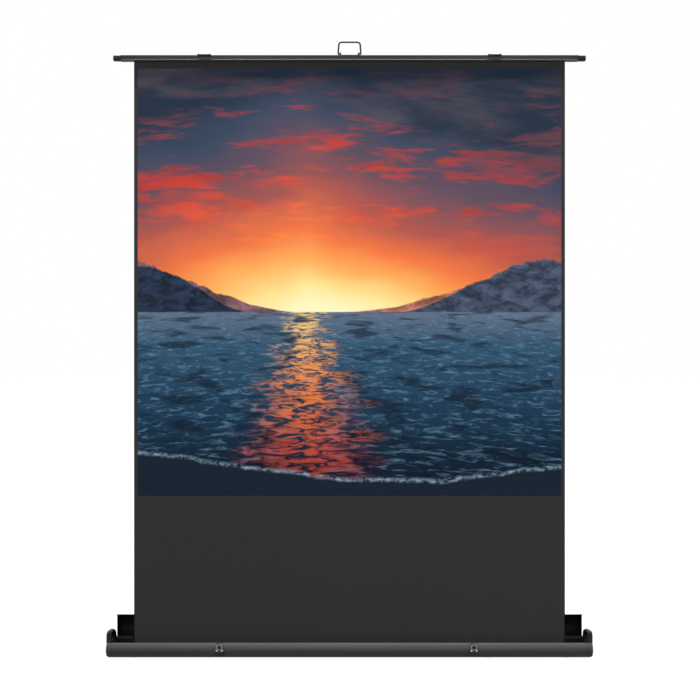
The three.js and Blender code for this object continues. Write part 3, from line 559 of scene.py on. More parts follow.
def walls(count, rows):
    """The faces between rows of points, each row closed in itself."""
    return [
        (start + i, start + (i + 1) % count, start + count + (i + 1) % count, start + count + i)
        for start in range(0, (rows - 1) * count, count)
        for i in range(count)
    ]


def ends(count, rows):
    """The faces that close the first row of points and the last."""
    last = (rows - 1) * count
    return [tuple(range(count)), tuple(range(last, last + count))]


def loft(stations, axis="X"):
    """Outlines with as many points each, joined in the order of their places along the axis."""
    count, rows = len(stations[0][1]), len(stations)
    verts = [placed(axis, along, u, v) for along, outline in stations for u, v in outline]
    return mesh_of(verts, ends(count, rows) + walls(count, rows))


def extrude(outline, span, axis="X"):
    return loft([(along, outline) for along in span], axis)


def lathe(profile, centre, axis="X", sides=40):
    """Profile points are (radius, place along the axis)."""
    turns = [2 * math.pi * k / sides for k in range(sides)]
    u, v = centre
    verts = [
        placed(axis, along, u + r * math.cos(t), v + r * math.sin(t)) for r, along in profile for t in turns
    ]
    return mesh_of(verts, walls(sides, len(profile)))


def rod(span, centre, radius, axis="X", sides=40):
    a, b = span
    return lathe([(0, a), (radius, a), (radius, b), (0, b)], centre, axis, sides)


def ring(span, centre, outer, inner, axis="X", sides=64):
    a, b = span
    return lathe([(inner, a), (outer, a), (outer, b), (inner, b), (inner, a)], centre, axis, sides)


def oblong(us, vs):
    return [(us[0], vs[0]), (us[1], vs[0]), (us[1], vs[1]), (us[0], vs[1])]


def around(middle, half):
    return (middle - half, middle + half)


def box(xs, ys, zs):
    return extrude(oblong(ys, zs), xs)


def curve(a, bend, b, steps=12):
    """A quadratic curve without its last point."""
    return [
        tuple((1 - t) ** 2 * p + 2 * t * (1 - t) * q + t * t * r for p, q, r in zip(a, bend, b))
        for t in (k / steps for k in range(steps))
    ]


def arc(centre, radius, start, end, steps):
    turns = [start + (end - start) * k / steps for k in range(steps + 1)]
    return [(centre[0] + radius * math.cos(t), centre[1] + radius * math.sin(t)) for t in turns]


def bent(points, corners, steps=8):
    """Points in a plane, with each inner one rounded off by its corner."""
    path = [points[0]]
    for before, at, after, corner in zip(points, points[1:], points[2:], corners):
        into = (Vector(before) - Vector(at)).normalized() * corner
        out = (Vector(after) - Vector(at)).normalized() * corner
        path += curve(tuple(Vector(at) + into), at, tuple(Vector(at) + out), steps)
        path.append(tuple(Vector(at) + out))
    return path + [points[-1]]


def wire(path, y, radius, sides=16):
    """A round wire along points in X and Z."""
    verts = []
    for k, (x, z) in enumerate(path):
        before, after = path[max(k - 1, 0)], path[min(k + 1, len(path) - 1)]
        along = Vector((after[0] - before[0], after[1] - before[1])).normalized()
        for turn in (2 * math.pi * n / sides for n in range(sides)):
            out = radius * math.cos(turn)
            place = (x - along.y * out, y + radius * math.sin(turn), z + along.x * out)
            verts.append([c * MM for c in place])
    return mesh_of(verts, ends(sides, len(path)) + walls(sides, len(path)))


def cut(mesh, *tools):
    holder = linked("holder", mesh)
    others = [linked("tool", tool) for tool in tools]
    for other in others:
        taking = holder.modifiers.new("cut", "BOOLEAN")
        taking.operation = "DIFFERENCE"
        taking.solver = "EXACT"
        taking.object = other
    result = evaluated(holder)
    for thing in (holder, *others):
        bpy.data.objects.remove(thing)
    return result


def together(*meshes):
    form = bmesh.new()
    for mesh in meshes:
        form.from_mesh(mesh)
    joined = bpy.data.meshes.new("joined")
    form.to_mesh(joined)
    form.free()
    smooth(joined)
    return joined


def piece(node, *parts, bevel=0.4, name=None, slot=None):
    """Parts with rounded edges, as one piece that stands for a CAD node."""
    mesh = together(*(finished(part, bevel) for part in parts))
    return link_in(name or node + "_form", mesh, node, slot)


def lined(thing, finish, in_shade_or_band):
    """A second material on the faces whose middle, in millimetres, and normal pass the test: the painted
    shade inside the tray and lid, or the case paint on the caps' front band.
    """
    thing.data.materials.append(finish)
    for face in thing.data.polygons:
        if in_shade_or_band(face.center / MM, face.normal):
            face.material_index = 1


SCREW_RISE = 1.1
SCREW_HEAD = ((0, -1), (1, -1), (1, 0.35), (0.7, 1), (0, 1))
SCREW_SLOT = (0.62, 0.14)
SCREW_SLOT_FLOOR = 0.3


def screw(centre, face, out, radius, axis="X"):
    """A cross-head screw whose head stands out of a face. Its shape is in shares of its radius and rise."""
    rise = SCREW_RISE * out
    head = lathe([(share * radius, face + height * rise) for share, height in SCREW_HEAD], centre, axis, 28)
    span = (face + SCREW_SLOT_FLOOR * rise, face + 2 * rise)
    long, thin = (share * radius for share in SCREW_SLOT)
    slots = [
        extrude(oblong(around(centre[0], half_u), around(centre[1], half_v)), span, axis)
        for half_u, half_v in ((long, thin), (thin, long))
    ]
    return cut(head, *slots)


# Case

TRAY_LOW, TRAY_HIGH = size("base_tray")
TRAY_WALL = 2.5
TRAY_BULGE_Z = 33
TRAY_ROUND = 9.5
TRAY_FOOT_Y = -34
TRAY_LIP_Y = -41
TRAY_LIP_DEPTH = 11
TRAY_REAR_LIP_Z = 56

HINGE = (52, 57)
HINGE_BORE = 2
KNUCKLE = 4

CAP_LOW, CAP_HIGH = size("end_cap_right")
CAP_SEAM = 1
CAP_BROW = 11
CAP_BRINK = (18.5, 4)
CAP_STEP_YS = (19.5, 22.5)
CAP_STEP_DROP = 10
CAP_SLOPE_BEND_Y = 41
CAP_SLOPE_DROP = 22
CAP_HEEL_ZS = (61, 53)
CAP_ROUND = 9
CAP_ROUND_STEPS = 8
CAP_HOLLOW = 11
CAP_HOLLOW_SHARE = 0.84
RIB_SHARES = (0.3, 0.62)
RIB_HALF = 1.2
RIB_ZS = (12, 74)
BOSS_Y = -1
BOSS_RADII = (7, 2.6)
HINGE_SEAT_RADIUS = 4.6

COVER_SHARE = 0.93
COVER_RIM_SHARE = 0.06
COVER_RECESS = 0.8
COVER_SCREWS = ((-32, 30), (-28, 80), (32, 70), (36, 22))


def tray_front(inset=0):
    """The half-round front from the foot up to the lip, set in from the outer face."""
    low, high, front = TRAY_LOW.z + inset, TRAY_HIGH.z - inset, TRAY_LOW.y + inset
    foot, lip = TRAY_FOOT_Y + inset / 2, TRAY_LIP_Y + inset / 2
    path = curve((foot, low), (front, low + TRAY_ROUND), (front, TRAY_BULGE_Z))
    path += curve((front, TRAY_BULGE_Z), (front, high - TRAY_ROUND), (lip, high))
    return path + [(lip, high)]


def tray():
    rear, bottom, top = TRAY_HIGH.y, TRAY_LOW.z, TRAY_HIGH.z
    lip_end, rear_inner = TRAY_LIP_Y + TRAY_LIP_DEPTH, rear - TRAY_WALL
    outline = [(rear, bottom)] + tray_front() + [(lip_end, top), (lip_end, top - TRAY_WALL)]
    outline += tray_front(TRAY_WALL)[::-1]
    outline += [(rear_inner, bottom + TRAY_WALL), (rear_inner, TRAY_REAR_LIP_Z), (rear, TRAY_REAR_LIP_Z)]
    body = piece("base_tray", extrude(outline, (TRAY_LOW.x, TRAY_HIGH.x)), bevel=0.5)

    # Painted shade: the faces in the tray's hollow take the darker inside material.
    def in_shade_or_band(at, out):
        in_front = out.y > 0.1 and at.y < 0
        on_floor = out.z > 0.5 and at.z < bottom + 2 * TRAY_WALL
        at_rear = out.y < -0.5 and at.y > rear - 2 * TRAY_WALL
        return in_front or on_floor or at_rear

    lined(body, INSIDE_SHADE, in_shade_or_band)


def cap_outline(share=1.0):
    """The closed case's profile: half-round front, flat top, a step for the bar, a slope to the hinge."""
    top, front, rear, bottom = CAP_HIGH.z, CAP_LOW.y, CAP_HIGH.y, CAP_LOW.z
    wall, lip, brow = TRAY_HIGH.y, TRAY_LIP_Y - CAP_SEAM, TRAY_LIP_Y + CAP_BROW
    lip_z, step_z, slope_z = TRAY_HIGH.z + TRAY_WALL, top - CAP_STEP_DROP, top - CAP_SLOPE_DROP
    step_start, step_end = ((y, step_z) for y in CAP_STEP_YS)
    path = [(wall, bottom)]
    path += curve((TRAY_FOOT_Y, bottom), (front, bottom + TRAY_ROUND), (front, TRAY_BULGE_Z))
    path += curve((front, TRAY_BULGE_Z), (front, lip_z - TRAY_ROUND), (lip, lip_z))
    path += [(lip, lip_z)]
    path += curve((TRAY_LIP_Y, top - CAP_BROW), (TRAY_LIP_Y, top), (brow, top))
    path += [(brow, top), (CAP_BRINK[0], top - CAP_BRINK[1]), step_start, step_end]
    path += curve(step_end, (CAP_SLOPE_BEND_Y, step_z), (wall, slope_z))
    path += [(wall, slope_z), *((rear, z) for z in CAP_HEEL_ZS), (wall + CAP_SEAM, TRAY_BULGE_Z)]
    middle = ((TRAY_LOW.y + TRAY_HIGH.y) / 2, (bottom + top) / 2)
    return [tuple(m + (c - m) * share for c, m in zip(point, middle)) for point in path]


def on_front_band(at, out):
    """The caps' front goes on from the tray's, in the same paint."""
    return at.y < TRAY_FOOT_Y and at.z < TRAY_HIGH.z + TRAY_WALL and out.y < 0.05 and abs(out.x) < 0.9


def caps():
    inner, outer = CAP_LOW.x, CAP_HIGH.x
    rib_ys = [TRAY_LOW.y + (TRAY_HIGH.y - TRAY_LOW.y) * share for share in RIB_SHARES]
    for side, sign in SIDES.items():
        hollow = sign * (inner + CAP_HOLLOW)
        stations = [(sign * inner, cap_outline())]
        for turn in (math.pi / 2 * k / CAP_ROUND_STEPS for k in range(CAP_ROUND_STEPS + 1)):
            along = outer - CAP_ROUND * (1 - math.sin(turn))
            share = 1 - (1 - COVER_SHARE) * (1 - math.cos(turn))
            stations.append((sign * along, cap_outline(share)))
        core = extrude(cap_outline(CAP_HOLLOW_SHARE), (sign * (inner - OVERRUN), hollow))
        shell = cut(loft(stations), core)
        inside = (sign * (inner + CAP_SEAM), hollow)
        ribs = [box(inside, around(y, RIB_HALF), RIB_ZS) for y in rib_ys]
        boss = ring(inside, (BOSS_Y, TRAY_HIGH.z), *BOSS_RADII)
        hinge_seat = ring((sign * inner, hollow), HINGE, HINGE_SEAT_RADIUS, HINGE_BORE)
        cap = piece(f"end_cap_{side}", shell, *ribs, boss, hinge_seat, bevel=0.7)
        lined(cap, FINISH["case_paint"], on_front_band)

        cover_end = size("end_cover_right")[1].x
        face = sign * (cover_end - COVER_RECESS)
        recess = extrude(cap_outline(COVER_SHARE - COVER_RIM_SHARE), (face, sign * (cover_end + OVERRUN)))
        cover = cut(extrude(cap_outline(COVER_SHARE), (sign * outer, sign * cover_end)), recess)
        heads = [screw(centre, face, sign * 0.6, 3.2) for centre in COVER_SCREWS]
        piece(f"end_cover_{side}", cover, *heads, bevel=0.35)


# Lid: an arc between the hinge and the lip

LID_LOW, LID_HIGH = size("lid_shell")
LID_CHORD = 84
LID_BULGE = 32
LID_RADIUS = LID_CHORD**2 / 8 / LID_BULGE + LID_BULGE / 2
LID_CENTRE = (HINGE[0] + LID_BULGE - LID_RADIUS, HINGE[1] + LID_CHORD / 2)
LID_SWEEP = math.atan2(LID_CHORD / 2, HINGE[0] - LID_CENTRE[0])
LID_STEPS = 56
LID_WALL = 2
LIP_BEAD = 1.4
LIP_BEAD_INSET = 0.4
INNER_BEAD = 1.1
INNER_BEAD_TURNS = (-0.55, 0.0, 0.55)
PEG_RADIUS = 2
PEG_OUT = 1.4


def lid():
    span = (LID_LOW.x, LID_HIGH.x)
    inner_radius = LID_RADIUS - LID_WALL
    outer = arc(LID_CENTRE, LID_RADIUS, -LID_SWEEP, LID_SWEEP, LID_STEPS)
    shell = extrude(outer + arc(LID_CENTRE, inner_radius, LID_SWEEP, -LID_SWEEP, LID_STEPS), span)
    lip = (HINGE[0] - LIP_BEAD_INSET, HINGE[1] + LID_CHORD - LIP_BEAD)
    beads = [rod(span, lip, LIP_BEAD, sides=20)]
    for turn in INNER_BEAD_TURNS:
        at = (LID_CENTRE[0] + inner_radius * math.cos(turn), LID_CENTRE[1] + inner_radius * math.sin(turn))
        beads.append(rod(span, at, INNER_BEAD, sides=16))
    body = piece("lid_shell", shell, ring(span, HINGE, KNUCKLE, HINGE_BORE), *beads, bevel=0.3)
    # Painted shade: the faces inside the lid's arc take the darker inside material.
    inside = (LID_RADIUS - LID_WALL / 2) ** 2
    lined(body, INSIDE_SHADE, lambda at, out: (at.y - LID_CENTRE[0]) ** 2 + (at.z - LID_CENTRE[1]) ** 2 < inside)
    for side, sign in SIDES.items():
        inner, end = ends_along_x(f"lid_end_{side}", sign)
        shell_end = sign * LID_HIGH.x
        plate = extrude(outer, (shell_end, end - sign * PEG_OUT))
        knuckle = ring((shell_end, end), HINGE, KNUCKLE, HINGE_BORE)
        peg = rod((inner, end), (HINGE[0], HINGE[1] + LID_CHORD - PEG_RADIUS), PEG_RADIUS, sides=20)
        piece(f"lid_end_{side}", plate, knuckle, peg, bevel=0.6)


# Carry handle: a wire bail with a ringed grip, between two mounts behind the lid

CARRY_HALF = 62
CARRY_RADIUS = 5
CARRY_WIRE = 4.3
CARRY_CORNER = 14
CARRY_PIVOT_RISE = 8
CARRY_PIN = 3
GRIP_RINGS = range(-44, 41, 5)
GRIP_RING_WIDTH = 3.6
MOUNT_SCREW_INSET = 4
MOUNT_FACE_INSET = 1.2


def carry_handle():
    low, high = size("carry_handle")
    y, bottom, half = high.y - CARRY_RADIUS, low.z + CARRY_RADIUS, CARRY_HALF
    pivot_z = size("carry_mount_left")[0].z + CARRY_PIVOT_RISE
    corners = [(-half, pivot_z), (-half, bottom), (half, bottom), (half, pivot_z)]
    bail = wire(bent(corners, (CARRY_CORNER, CARRY_CORNER)), y, CARRY_WIRE)
    grips = [rod((x, x + GRIP_RING_WIDTH), (y, bottom), CARRY_RADIUS, sides=28) for x in GRIP_RINGS]
    eyes, pins = [], []
    for sign in SIDES.values():
        eye = (sign * (half - CARRY_RADIUS), sign * (half + CARRY_RADIUS))
        eyes.append(rod(eye, (y, pivot_z), CARRY_RADIUS))
        pins.append(rod((sign * half, sign * high.x), (y, pivot_z), CARRY_PIN))
    piece("carry_handle", bail, *grips, *eyes, *pins, bevel=0.5)
    for side in SIDES:
        low, high = size(f"carry_mount_{side}")
        middle, face = (low.x + high.x) / 2, high.y - MOUNT_FACE_INSET
        block = box((low.x, high.x), (low.y, face), (low.z, high.z))
        screw_zs = (low.z + MOUNT_SCREW_INSET, high.z - MOUNT_SCREW_INSET)
        heads = [screw((middle, z), face, 1, 2.4, "Y") for z in screw_zs]
        piece(f"carry_mount_{side}", block, *heads, bevel=1.2)


# Latches: a base bent to the tray with two ears and a pin, a pressed lever, and a hook with a window

LATCH_PIVOT = (-55.3, 34)
BASE_SHEET = (0.3, 1.9)
EAR_THICK = 1.5
EAR_ROOT = [(-49.5, 26), (-49.5, 42)]
EAR_RADIUS = 2.9
LATCH_PIN = 1.5
RIVET_XS = (-10, 10)
RIVET_Z = 20
RIVET_FACE_Y = -50.6
BARREL_RADII = (2.7, 1.6)
LEVER_HALF = 11
TONGUE_HALF = 5
TONGUE_YS = (-56.2, -54.6)
TONGUE_ZS = (36, 30)
BLADE_LIFT = 0.9
HOOK_HALF_THICK = 0.8
HOOK_SHEET_Z = 37.5
HOOK_WINDOW_HALF = 6.5
HOOK_WINDOW_ZS = (41.5, 52.5)
HOOK_ARMS = ((-12.5, -6), (6, 12.5))
HOOK_ARM_TOP = 40
HOOK_LIP = 1.6
NIB_INSET = 2
NIB_THICK = 1.4
NIB_DROP = 4


def latch_base(side):
    low, high = size(f"latch_base_{side}")
    x = (low.x + high.x) / 2
    inner, outer = ([(y, z) for y, z in tray_front(-out) if low.z <= z <= high.z] for out in BASE_SHEET)
    base = extrude(inner + outer[::-1], (low.x, high.x))
    cheek = EAR_ROOT + arc(LATCH_PIVOT, EAR_RADIUS, math.pi / 2, 1.5 * math.pi, 12)
    ears = [extrude(cheek, (start, start + EAR_THICK)) for start in (low.x, high.x - EAR_THICK)]
    pin = rod((low.x, high.x), LATCH_PIVOT, LATCH_PIN, sides=20)
    rivets = [screw((x + shift, RIVET_Z), RIVET_FACE_Y, -1, 2.2, "Y") for shift in RIVET_XS]
    piece(f"latch_base_{side}", base, *ears, pin, *rivets, bevel=0.3)
    return x


def latch_lever(side, x):
    barrel = ring(around(x, TONGUE_HALF), LATCH_PIVOT, *BARREL_RADII, sides=28)
    front = curve((-56.2, 32), (-57.9, 22), (-54.6, 14.6)) + [(-54.6, 14.6), (-56.8, 12.9)]
    back = [(-55.8, 11.9), (-53.2, 14.4)] + curve((-53.2, 14.4), (-56.2, 22), (-54.6, 32))
    tongue = extrude(oblong(TONGUE_YS, TONGUE_ZS), around(x, TONGUE_HALF))
    blade = extrude([(y, z + BLADE_LIFT) for y, z in front + back], around(x, LEVER_HALF))
    piece(f"latch_lever_{side}", barrel, tongue, blade, bevel=0.35)


def latch_hook(side, x):
    low, high = size(f"latch_hook_{side}")
    inner, outer = LATCH_PIVOT[0] + HOOK_HALF_THICK, LATCH_PIVOT[0] - HOOK_HALF_THICK
    window = box(around(x, HOOK_WINDOW_HALF), (outer - OVERRUN, inner + OVERRUN), HOOK_WINDOW_ZS)
    sheet = cut(box((low.x, high.x), (outer, inner), (HOOK_SHEET_Z, high.z)), window)
    lip = box((low.x, high.x), (outer, high.y), (high.z - HOOK_LIP, high.z))
    nib_xs, nib_ys = (low.x + NIB_INSET, high.x - NIB_INSET), (high.y - NIB_THICK, high.y)
    nib = box(nib_xs, nib_ys, (high.z - NIB_DROP, high.z))
    arm_spans = [(x + start, x + end) for start, end in HOOK_ARMS]
    arms = [box(span, (outer, inner), (LATCH_PIVOT[1], HOOK_ARM_TOP)) for span in arm_spans]
    knuckles = [ring(span, LATCH_PIVOT, *BARREL_RADII, sides=28) for span in arm_spans]
    piece(f"latch_hook_{side}", sheet, lip, nib, *arms, *knuckles, bevel=0.4)


def latches():
    for side in SIDES:
        x = latch_base(side)
        latch_lever(side, x)
        latch_hook(side, x)


# Lift: flat bars and their pins. Spans are along Y.

SPREAD = 523.6
LOW_Z = 26
HIGH_Z = 2158
ELBOW_Z = (LOW_Z + HIGH_Z) / 2
FRONT_LINK = (9, 12)
FRONT_ARM = (14.5, 18.5)
REAR_ARM = (19.5, 23.5)
REAR_LINK = (26, 29)
ARM_WIDTH = 20
LINK_WIDTH = 16
PIN = 4
SHOULDER = 6
RIVET = 4.6
RIVET_RISE = 1.5
HEAD_RISE = 2
CLEAR = 0.3
PIN_ROOT = 0.5
PIN_SIDES = 32


def flat_bar(start, end, width, span):
    """A flat bar with round ends, between two points in X and Z."""
    along = Vector(end) - Vector(start)
    turn = math.atan2(along.y, along.x)
    near = arc(start, width / 2, turn + math.pi / 2, turn + 1.5 * math.pi, 24)
    far = arc(end, width / 2, turn - math.pi / 2, turn + math.pi / 2, 24)
    return extrude(near + far, span, "Y")


def pin(centre, *steps):
    """Coaxial stretches of a pin along Y: each is (from, to, radius), and the last is its domed head."""
    shapes = [rod((a, b), centre, radius, "Y", PIN_SIDES) for a, b, radius in steps[:-1]]
    a, b, radius = steps[-1]
    rise = b - a
    dome = [(0, a), (radius, a), (radius, a + 0.3 * rise), (0.82 * radius, a + 0.75 * rise), (0, b)]
    return shapes + [lathe(dome, centre, "Y", PIN_SIDES)]


def arm(node, start, end, span, pins):
    piece(node, flat_bar(start, end, ARM_WIDTH, span))
    piece(node, *pins, name=f"{node}_pins", slot="steel")


def lift():
    """The rear arms carry the pins of their middle, elbow and link, the front arms that of their link."""
    quarter = (Vector((SPREAD, ELBOW_Z)) - Vector((-SPREAD, LOW_Z))) / 4
    low_left, low_right = (-SPREAD, LOW_Z), (SPREAD, LOW_Z)
    elbow_left, elbow_right = (-SPREAD, ELBOW_Z), (SPREAD, ELBOW_Z)
    top_left, top_right = (-SPREAD, HIGH_Z), (SPREAD, HIGH_Z)
    link_z = {"lower": LOW_Z + quarter.y, "upper": HIGH_Z - quarter.y}
    rear = {
        "lower": (low_left, elbow_right, elbow_right, (-quarter.x, link_z["lower"])),
        "upper": (elbow_left, top_right, elbow_left, (quarter.x, link_z["upper"])),
    }
    front = {
        "lower": (low_right, elbow_left, (quarter.x, link_z["lower"])),
        "upper": (elbow_right, top_left, (-quarter.x, link_z["upper"])),
    }
    arm_face, link_face = REAR_ARM[1], REAR_LINK[1] + CLEAR
    for level, (start, end, elbow, link_at) in rear.items():
        middle = tuple((a + b) / 2 for a, b in zip(start, end))
        stretches = (FRONT_ARM[0] - CLEAR, arm_face, PIN), (arm_face, arm_face + RIVET_RISE, RIVET)
        pins = [shape for at in (middle, elbow) for shape in pin(at, *stretches)]
        pins += pin(
            link_at,
            (REAR_ARM[0], REAR_LINK[0] - CLEAR, SHOULDER),
            (REAR_LINK[0], link_face, PIN),
            (link_face, REAR_LINK[1] + HEAD_RISE, SHOULDER),
        )
        arm(f"{level}_arm_rear", start, end, REAR_ARM, pins)
    root = FRONT_ARM[1] - PIN_ROOT
    for level, (start, end, link_at) in front.items():
        pins = pin(link_at, (FRONT_LINK[1] + CLEAR, root, SHOULDER), (root, FRONT_LINK[0] - CLEAR / 2, PIN))
        arm(f"{level}_arm_front", start, end, FRONT_ARM, pins)
    for level, z in (("lower", LOW_Z), ("upper", HIGH_Z)):
        for layer, arms, span in (("rear", rear, REAR_LINK), ("front", front, FRONT_LINK)):
            joints = ((0, z), arms[level][-1])
            through = (span[0] - OVERRUN, span[1] + OVERRUN)
            bores = [rod(through, at, PIN + CLEAR, "Y", PIN_SIDES) for at in joints]
            piece(f"{level}_link_{layer}", cut(flat_bar(*joints, LINK_WIDTH, span), *bores))


# Bar and pull handle

BAR_LOW, BAR_HIGH = size("top_bar")
BAR_WALL = 1.8
BAR_FRONT_WALL = 3.6
BAR_SLIT_HALF = 1.5
FACE_DEPTH = 2.6
FACE_DROPS = (1.8, 14.2)
SHOULDER_BEND = (0.2, 14.7)
SHOULDER_DROP = 17
BAR_TOP_EDGE = ((1.2, 0), (0.2, 0.6), (0.2, 1.3))
BAR_FOOT_EDGE = ((0, 1.4), (0.5, 0.4), (1.2, 0))
PLUG_INSET = 1
COLLAR_INSET = 0.3
COLLAR_WIDTH = 3
HANDLE_XS = (30, 41, 38)
HANDLE_CORNERS = (3, 11, 11, 3)


def bar():
    """A slit tube whose face is set back between its top edge and a shoulder. Drops are from its top."""
    front, rear, bottom, top = BAR_LOW.y, BAR_HIGH.y, BAR_LOW.z, BAR_HIGH.z
    middle, front_inner, rear_inner = (front + rear) / 2, front + BAR_FRONT_WALL, rear - BAR_WALL
    floor_z, roof_z = bottom + BAR_WALL, top - BAR_WALL
    slit_front, slit_rear = around(middle, BAR_SLIT_HALF)
    upper, lower = ((front + FACE_DEPTH, top - drop) for drop in FACE_DROPS)
    shoulder = (front, top - SHOULDER_DROP)
    outline = [(slit_front, bottom), (slit_front, floor_z), (front_inner, floor_z), (front_inner, roof_z)]
    outline += [(rear_inner, roof_z), (rear_inner, floor_z), (slit_rear, floor_z), (slit_rear, bottom)]
    outline += [(rear, bottom), (rear, roof_z), (rear_inner, top)]
    outline += [(front + y, top - drop) for y, drop in BAR_TOP_EDGE]
    outline += [upper, lower, *curve(lower, (front + SHOULDER_BEND[0], top - SHOULDER_BEND[1]), shoulder)]
    outline += [shoulder, *((front + y, bottom + z) for y, z in BAR_FOOT_EDGE)]
    piece("top_bar", extrude(outline, (BAR_LOW.x, BAR_HIGH.x)), bevel=0.3)
    for side, sign in SIDES.items():
        inner, outer = sign * BAR_HIGH.x, ends_along_x(f"bar_plug_{side}", sign)[1]
        head, collar = (
            box((inner, end), (front + inset, rear - inset), (bottom + inset, top - inset))
            for end, inset in ((outer, PLUG_INSET), (inner + sign * COLLAR_WIDTH, COLLAR_INSET))
        )
        piece(f"bar_plug_{side}", head, collar, bevel=2.2)


def pull_handle():
    low, high = size("pull_handle")
    y, radius = (low.y + high.y) / 2, (high.y - low.y) / 2
    base, top = low.z + radius, high.z - radius
    foot, half, top_half = HANDLE_XS
    corners = [(-foot, base), (-half, base), (-top_half, top), (top_half, top), (half, base), (foot, base)]
    bail = piece("pull_handle", wire(bent(corners, HANDLE_CORNERS), y, radius), bevel=0)
    bail.data.materials[0] = WIRE


# Roller

TUBE_WALL = 2
CLOTH_TURNS = 3
TURN_STEP = 0.5
TURNS_DEPTH = 1.5


def roller():
    low, high = size("roller_tube")
    centre = ((low.y + high.y) / 2, (low.z + high.z) / 2)
    outer = (high.z - low.z) / 2
    piece("roller_tube", ring((low.x, high.x), centre, outer, outer - TUBE_WALL), bevel=0.4)
    low, high = size("wound_fabric")
    outer = (high.z - low.z) / 2
    turns = [
        ring((low.x + k, high.x - k), centre, outer - TURN_STEP * k, outer - TURNS_DEPTH)
        for k in range(CLOTH_TURNS)
    ]
    piece("wound_fabric", *turns, bevel=0.2)


# Small pieces keep their CAD form, with softer edges

SADDLE_DIP_HALF = 18
SADDLE_DIP_DEPTH = 1.3
SOFT_EDGES = {"end_pad": 1.0, "centre_pad": 1.0, "foot_tip": 1.4, "lower_carriage": 0.6}
EDGE_BEVEL = 0.4


def saddles():
    """The saddles' roofs are thin in the middle and end in low ridges."""
    for side in SIDES:
        node = f"upper_carriage_{side}"
        low, high = size(node)
        dip_ys, dip_zs = (low.y - OVERRUN, high.y + OVERRUN), (high.z - SADDLE_DIP_DEPTH, high.z + OVERRUN)
        dip = box(around((low.x + high.x) / 2, SADDLE_DIP_HALF), dip_ys, dip_zs)
        form = cut(frame["nodes"][node].data.copy(), dip)
        form.materials.clear()
        piece(node, form, bevel=0.6)


def small_pieces():
    """Every node that has no piece yet and isn't the cloth."""
    for node in BODY_OF:
        if node not in dressed and node != CLOTH_NODE:
            soft = (bevel for start, bevel in SOFT_EDGES.items() if node.startswith(start))
            skin(node, next(soft, EDGE_BEVEL))


BUILDERS = (tray, caps, lid, carry_handle, latches, lift, bar, pull_handle, roller, saddles, small_pieces)
for build in BUILDERS:
    build()


# Cloth: one stretched sheet with its border, its picture, a darker sealed edge at each side and its back

CLOTH_LOOKS = (FINISH["fabric"], PICTURE, EDGE, BACKING)
COAT, IMAGE, SEALED, BACK = range(4)
SEAL = 3 * MM
PICTURE_COLUMNS = 12
PICTURE_ROWS = 14
DROP_ROWS = 6


def spaced(low, high, count):
    """Places from low up to high, without high."""
    return [low + (high - low) * k / count for k in range(count)]


def cloth_mesh():
    low, high = FABRIC_LOW, FABRIC_HIGH
    xs = [low.x, low.x + SEAL, *spaced(PICTURE_LOW.x, PICTURE_HIGH.x, PICTURE_COLUMNS)]
    xs += [PICTURE_HIGH.x, high.x - SEAL, high.x]
    zs = spaced(low.z, PICTURE_BOTTOM, DROP_ROWS) + spaced(PICTURE_BOTTOM, PICTURE_TOP, PICTURE_ROWS)
    zs += [PICTURE_TOP, high.z]
    form = bmesh.new()
    front, back = ([[form.verts.new((x, y, z)) for x in xs] for z in zs] for y in (low.y, high.y))
    columns, rows = len(xs) - 1, len(zs) - 1
    for r in range(rows):
        for c in range(columns):
            across = PICTURE_LOW.x <= xs[c] < PICTURE_HIGH.x - SEAL
            in_view = across and PICTURE_BOTTOM <= zs[r] < PICTURE_TOP
            at_edge = c in (0, columns - 1)
            face = form.faces.new((front[r][c], front[r][c + 1], front[r + 1][c + 1], front[r + 1][c]))
            face.material_index = IMAGE if in_view else SEALED if at_edge else COAT
            behind = form.faces.new((back[r][c], back[r + 1][c], back[r + 1][c + 1], back[r][c + 1]))
            behind.material_index = BACK
    for r in range(rows):
        for c, way in ((0, 1), (columns, -1)):
            form.faces.new([front[r][c], front[r + 1][c], back[r + 1][c], back[r][c]][::way])
    for c in range(columns):
        for r, way in ((0, -1), (rows, 1)):
            form.faces.new([front[r][c], front[r][c + 1], back[r][c + 1], back[r][c]][::way])
    bmesh.ops.recalc_face_normals(form, faces=form.faces)
    mesh = bpy.data.meshes.new("screen_cloth")
    form.to_mesh(mesh)
    form.free()
    for material in CLOTH_LOOKS:
        mesh.materials.append(material)
    return mesh


cloth = link_in("screen_cloth", cloth_mesh(), CLOTH_NODE)
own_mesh(cloth)


# Floor, light and camera

FLOOR_HALF = 40
FLOOR_DROP = 0.2 * MM
FLOOR_GREY = (0.12, 0.12, 0.12)
WORLD_LIGHT = 0.2
WHITE = (1, 1, 1, 1)
BLACK = (0, 0, 0, 1)
LAMPS = (
    # Name, place, what it faces, its width and height, and its power
    ("key", (-2.2, -4.8, 2.5), (0, 0, 1.3), (3.0, 1.8), 88),
    ("fill", (2.6, -4.6, 2.5), (0, 0, 1.3), (2.6, 1.8), 60),
    ("top", (0, -0.36, 5.6), (0, -0.15, 0), (4.6, 0.6), 960),
    ("side", (4.2, -0.6, 1.4), (0.8, 0, 0.8), (1.2, 2.0), 40),
    ("back", (0.5, 4.5, 3.2), (0, 0, 1.0), (3.0, 2.0), 110),
)
PHOTO_SIDE = 700
MM_PER_PIXEL = 3.569
CAMERA_DISTANCE = 4.0
CAMERA_HEIGHT = 1.108
CAMERA_X = 0.0018
CASE_FRONT_Y = -0.05
SENSOR = 36.0


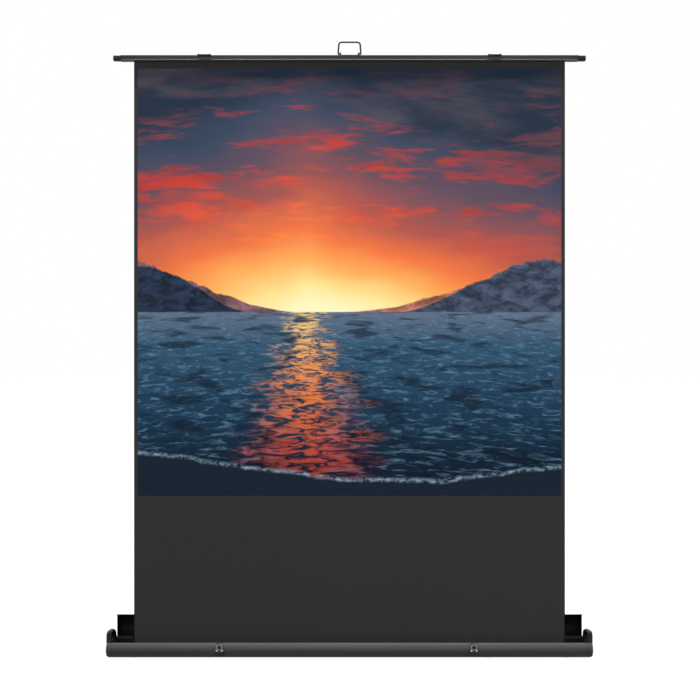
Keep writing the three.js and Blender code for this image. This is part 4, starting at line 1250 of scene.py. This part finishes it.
def floor():
    """Dull grey for the light and white for the eye, a touch less close to the case."""
    mesh = bpy.data.meshes.new("floor")
    span = (-FLOOR_HALF, FLOOR_HALF)
    mesh.from_pydata([(x, y, 0) for x, y in oblong(span, span)], [], [(0, 1, 2, 3)])
    ground = linked("floor", mesh)
    ground.location.z = -FLOOR_DROP
    g = Graph("floor_look")
    g.set(base=FLOOR_GREY, rough=0.95, specular=0.05)
    away = g.add("ShaderNodeVectorMath", {0: g.place}, operation="LENGTH").outputs["Value"]
    white = g.add("ShaderNodeEmission", {"Color": WHITE, "Strength": g.spread(away, 1.4, 4.0, 0.93, 1.0)})
    nothing = g.add("ShaderNodeEmission", {"Color": BLACK, "Strength": 0.0})
    shown = g.add("ShaderNodeMixShader", {0: g.seen(), 1: nothing.outputs[0], 2: white.outputs[0]})
    total = g.add("ShaderNodeAddShader", {0: g.shader.outputs[0], 1: shown.outputs[0]})
    g.feed(g.tree.nodes["Material Output"].inputs["Surface"], total.outputs[0])
    mesh.materials.append(g.material)


def studio():
    """A dim world that shows as white."""
    world = bpy.data.worlds.new("studio")
    bpy.context.scene.world = world
    world.use_nodes = True
    world.node_tree.nodes.clear()
    g = Nodes(world.node_tree)
    dim = g.add("ShaderNodeBackground", {"Color": WHITE, "Strength": WORLD_LIGHT}).outputs[0]
    white = g.add("ShaderNodeBackground", {"Color": WHITE}).outputs[0]
    choice = g.add("ShaderNodeMixShader", {0: g.seen(), 1: dim, 2: white}).outputs[0]
    g.add("ShaderNodeOutputWorld", {"Surface": choice})


def lamp(name, place, aim, spans, power):
    data = bpy.data.lights.new(name, "AREA")
    data.shape = "RECTANGLE"
    data.size, data.size_y = spans
    data.energy = power
    holder = linked(name, data)
    holder.location = place
    holder.rotation_euler = (Vector(aim) - Vector(place)).to_track_quat("-Z", "Y").to_euler()


def camera():
    """Square to the picture, with the photo's scale at the front of the case."""
    data = bpy.data.cameras.new("camera")
    data.sensor_width = SENSOR
    data.lens = SENSOR * CAMERA_DISTANCE / (PHOTO_SIDE * MM_PER_PIXEL * MM)
    data.clip_end = 200
    holder = linked("camera", data)
    holder.location = (CAMERA_X, CASE_FRONT_Y - CAMERA_DISTANCE, CAMERA_HEIGHT)
    holder.rotation_euler = (math.pi / 2, 0, 0)
    bpy.context.scene.camera = holder


floor()
studio()
for settings in LAMPS:
    lamp(*settings)
camera()

bpy.context.scene.view_settings.view_transform = "Standard"
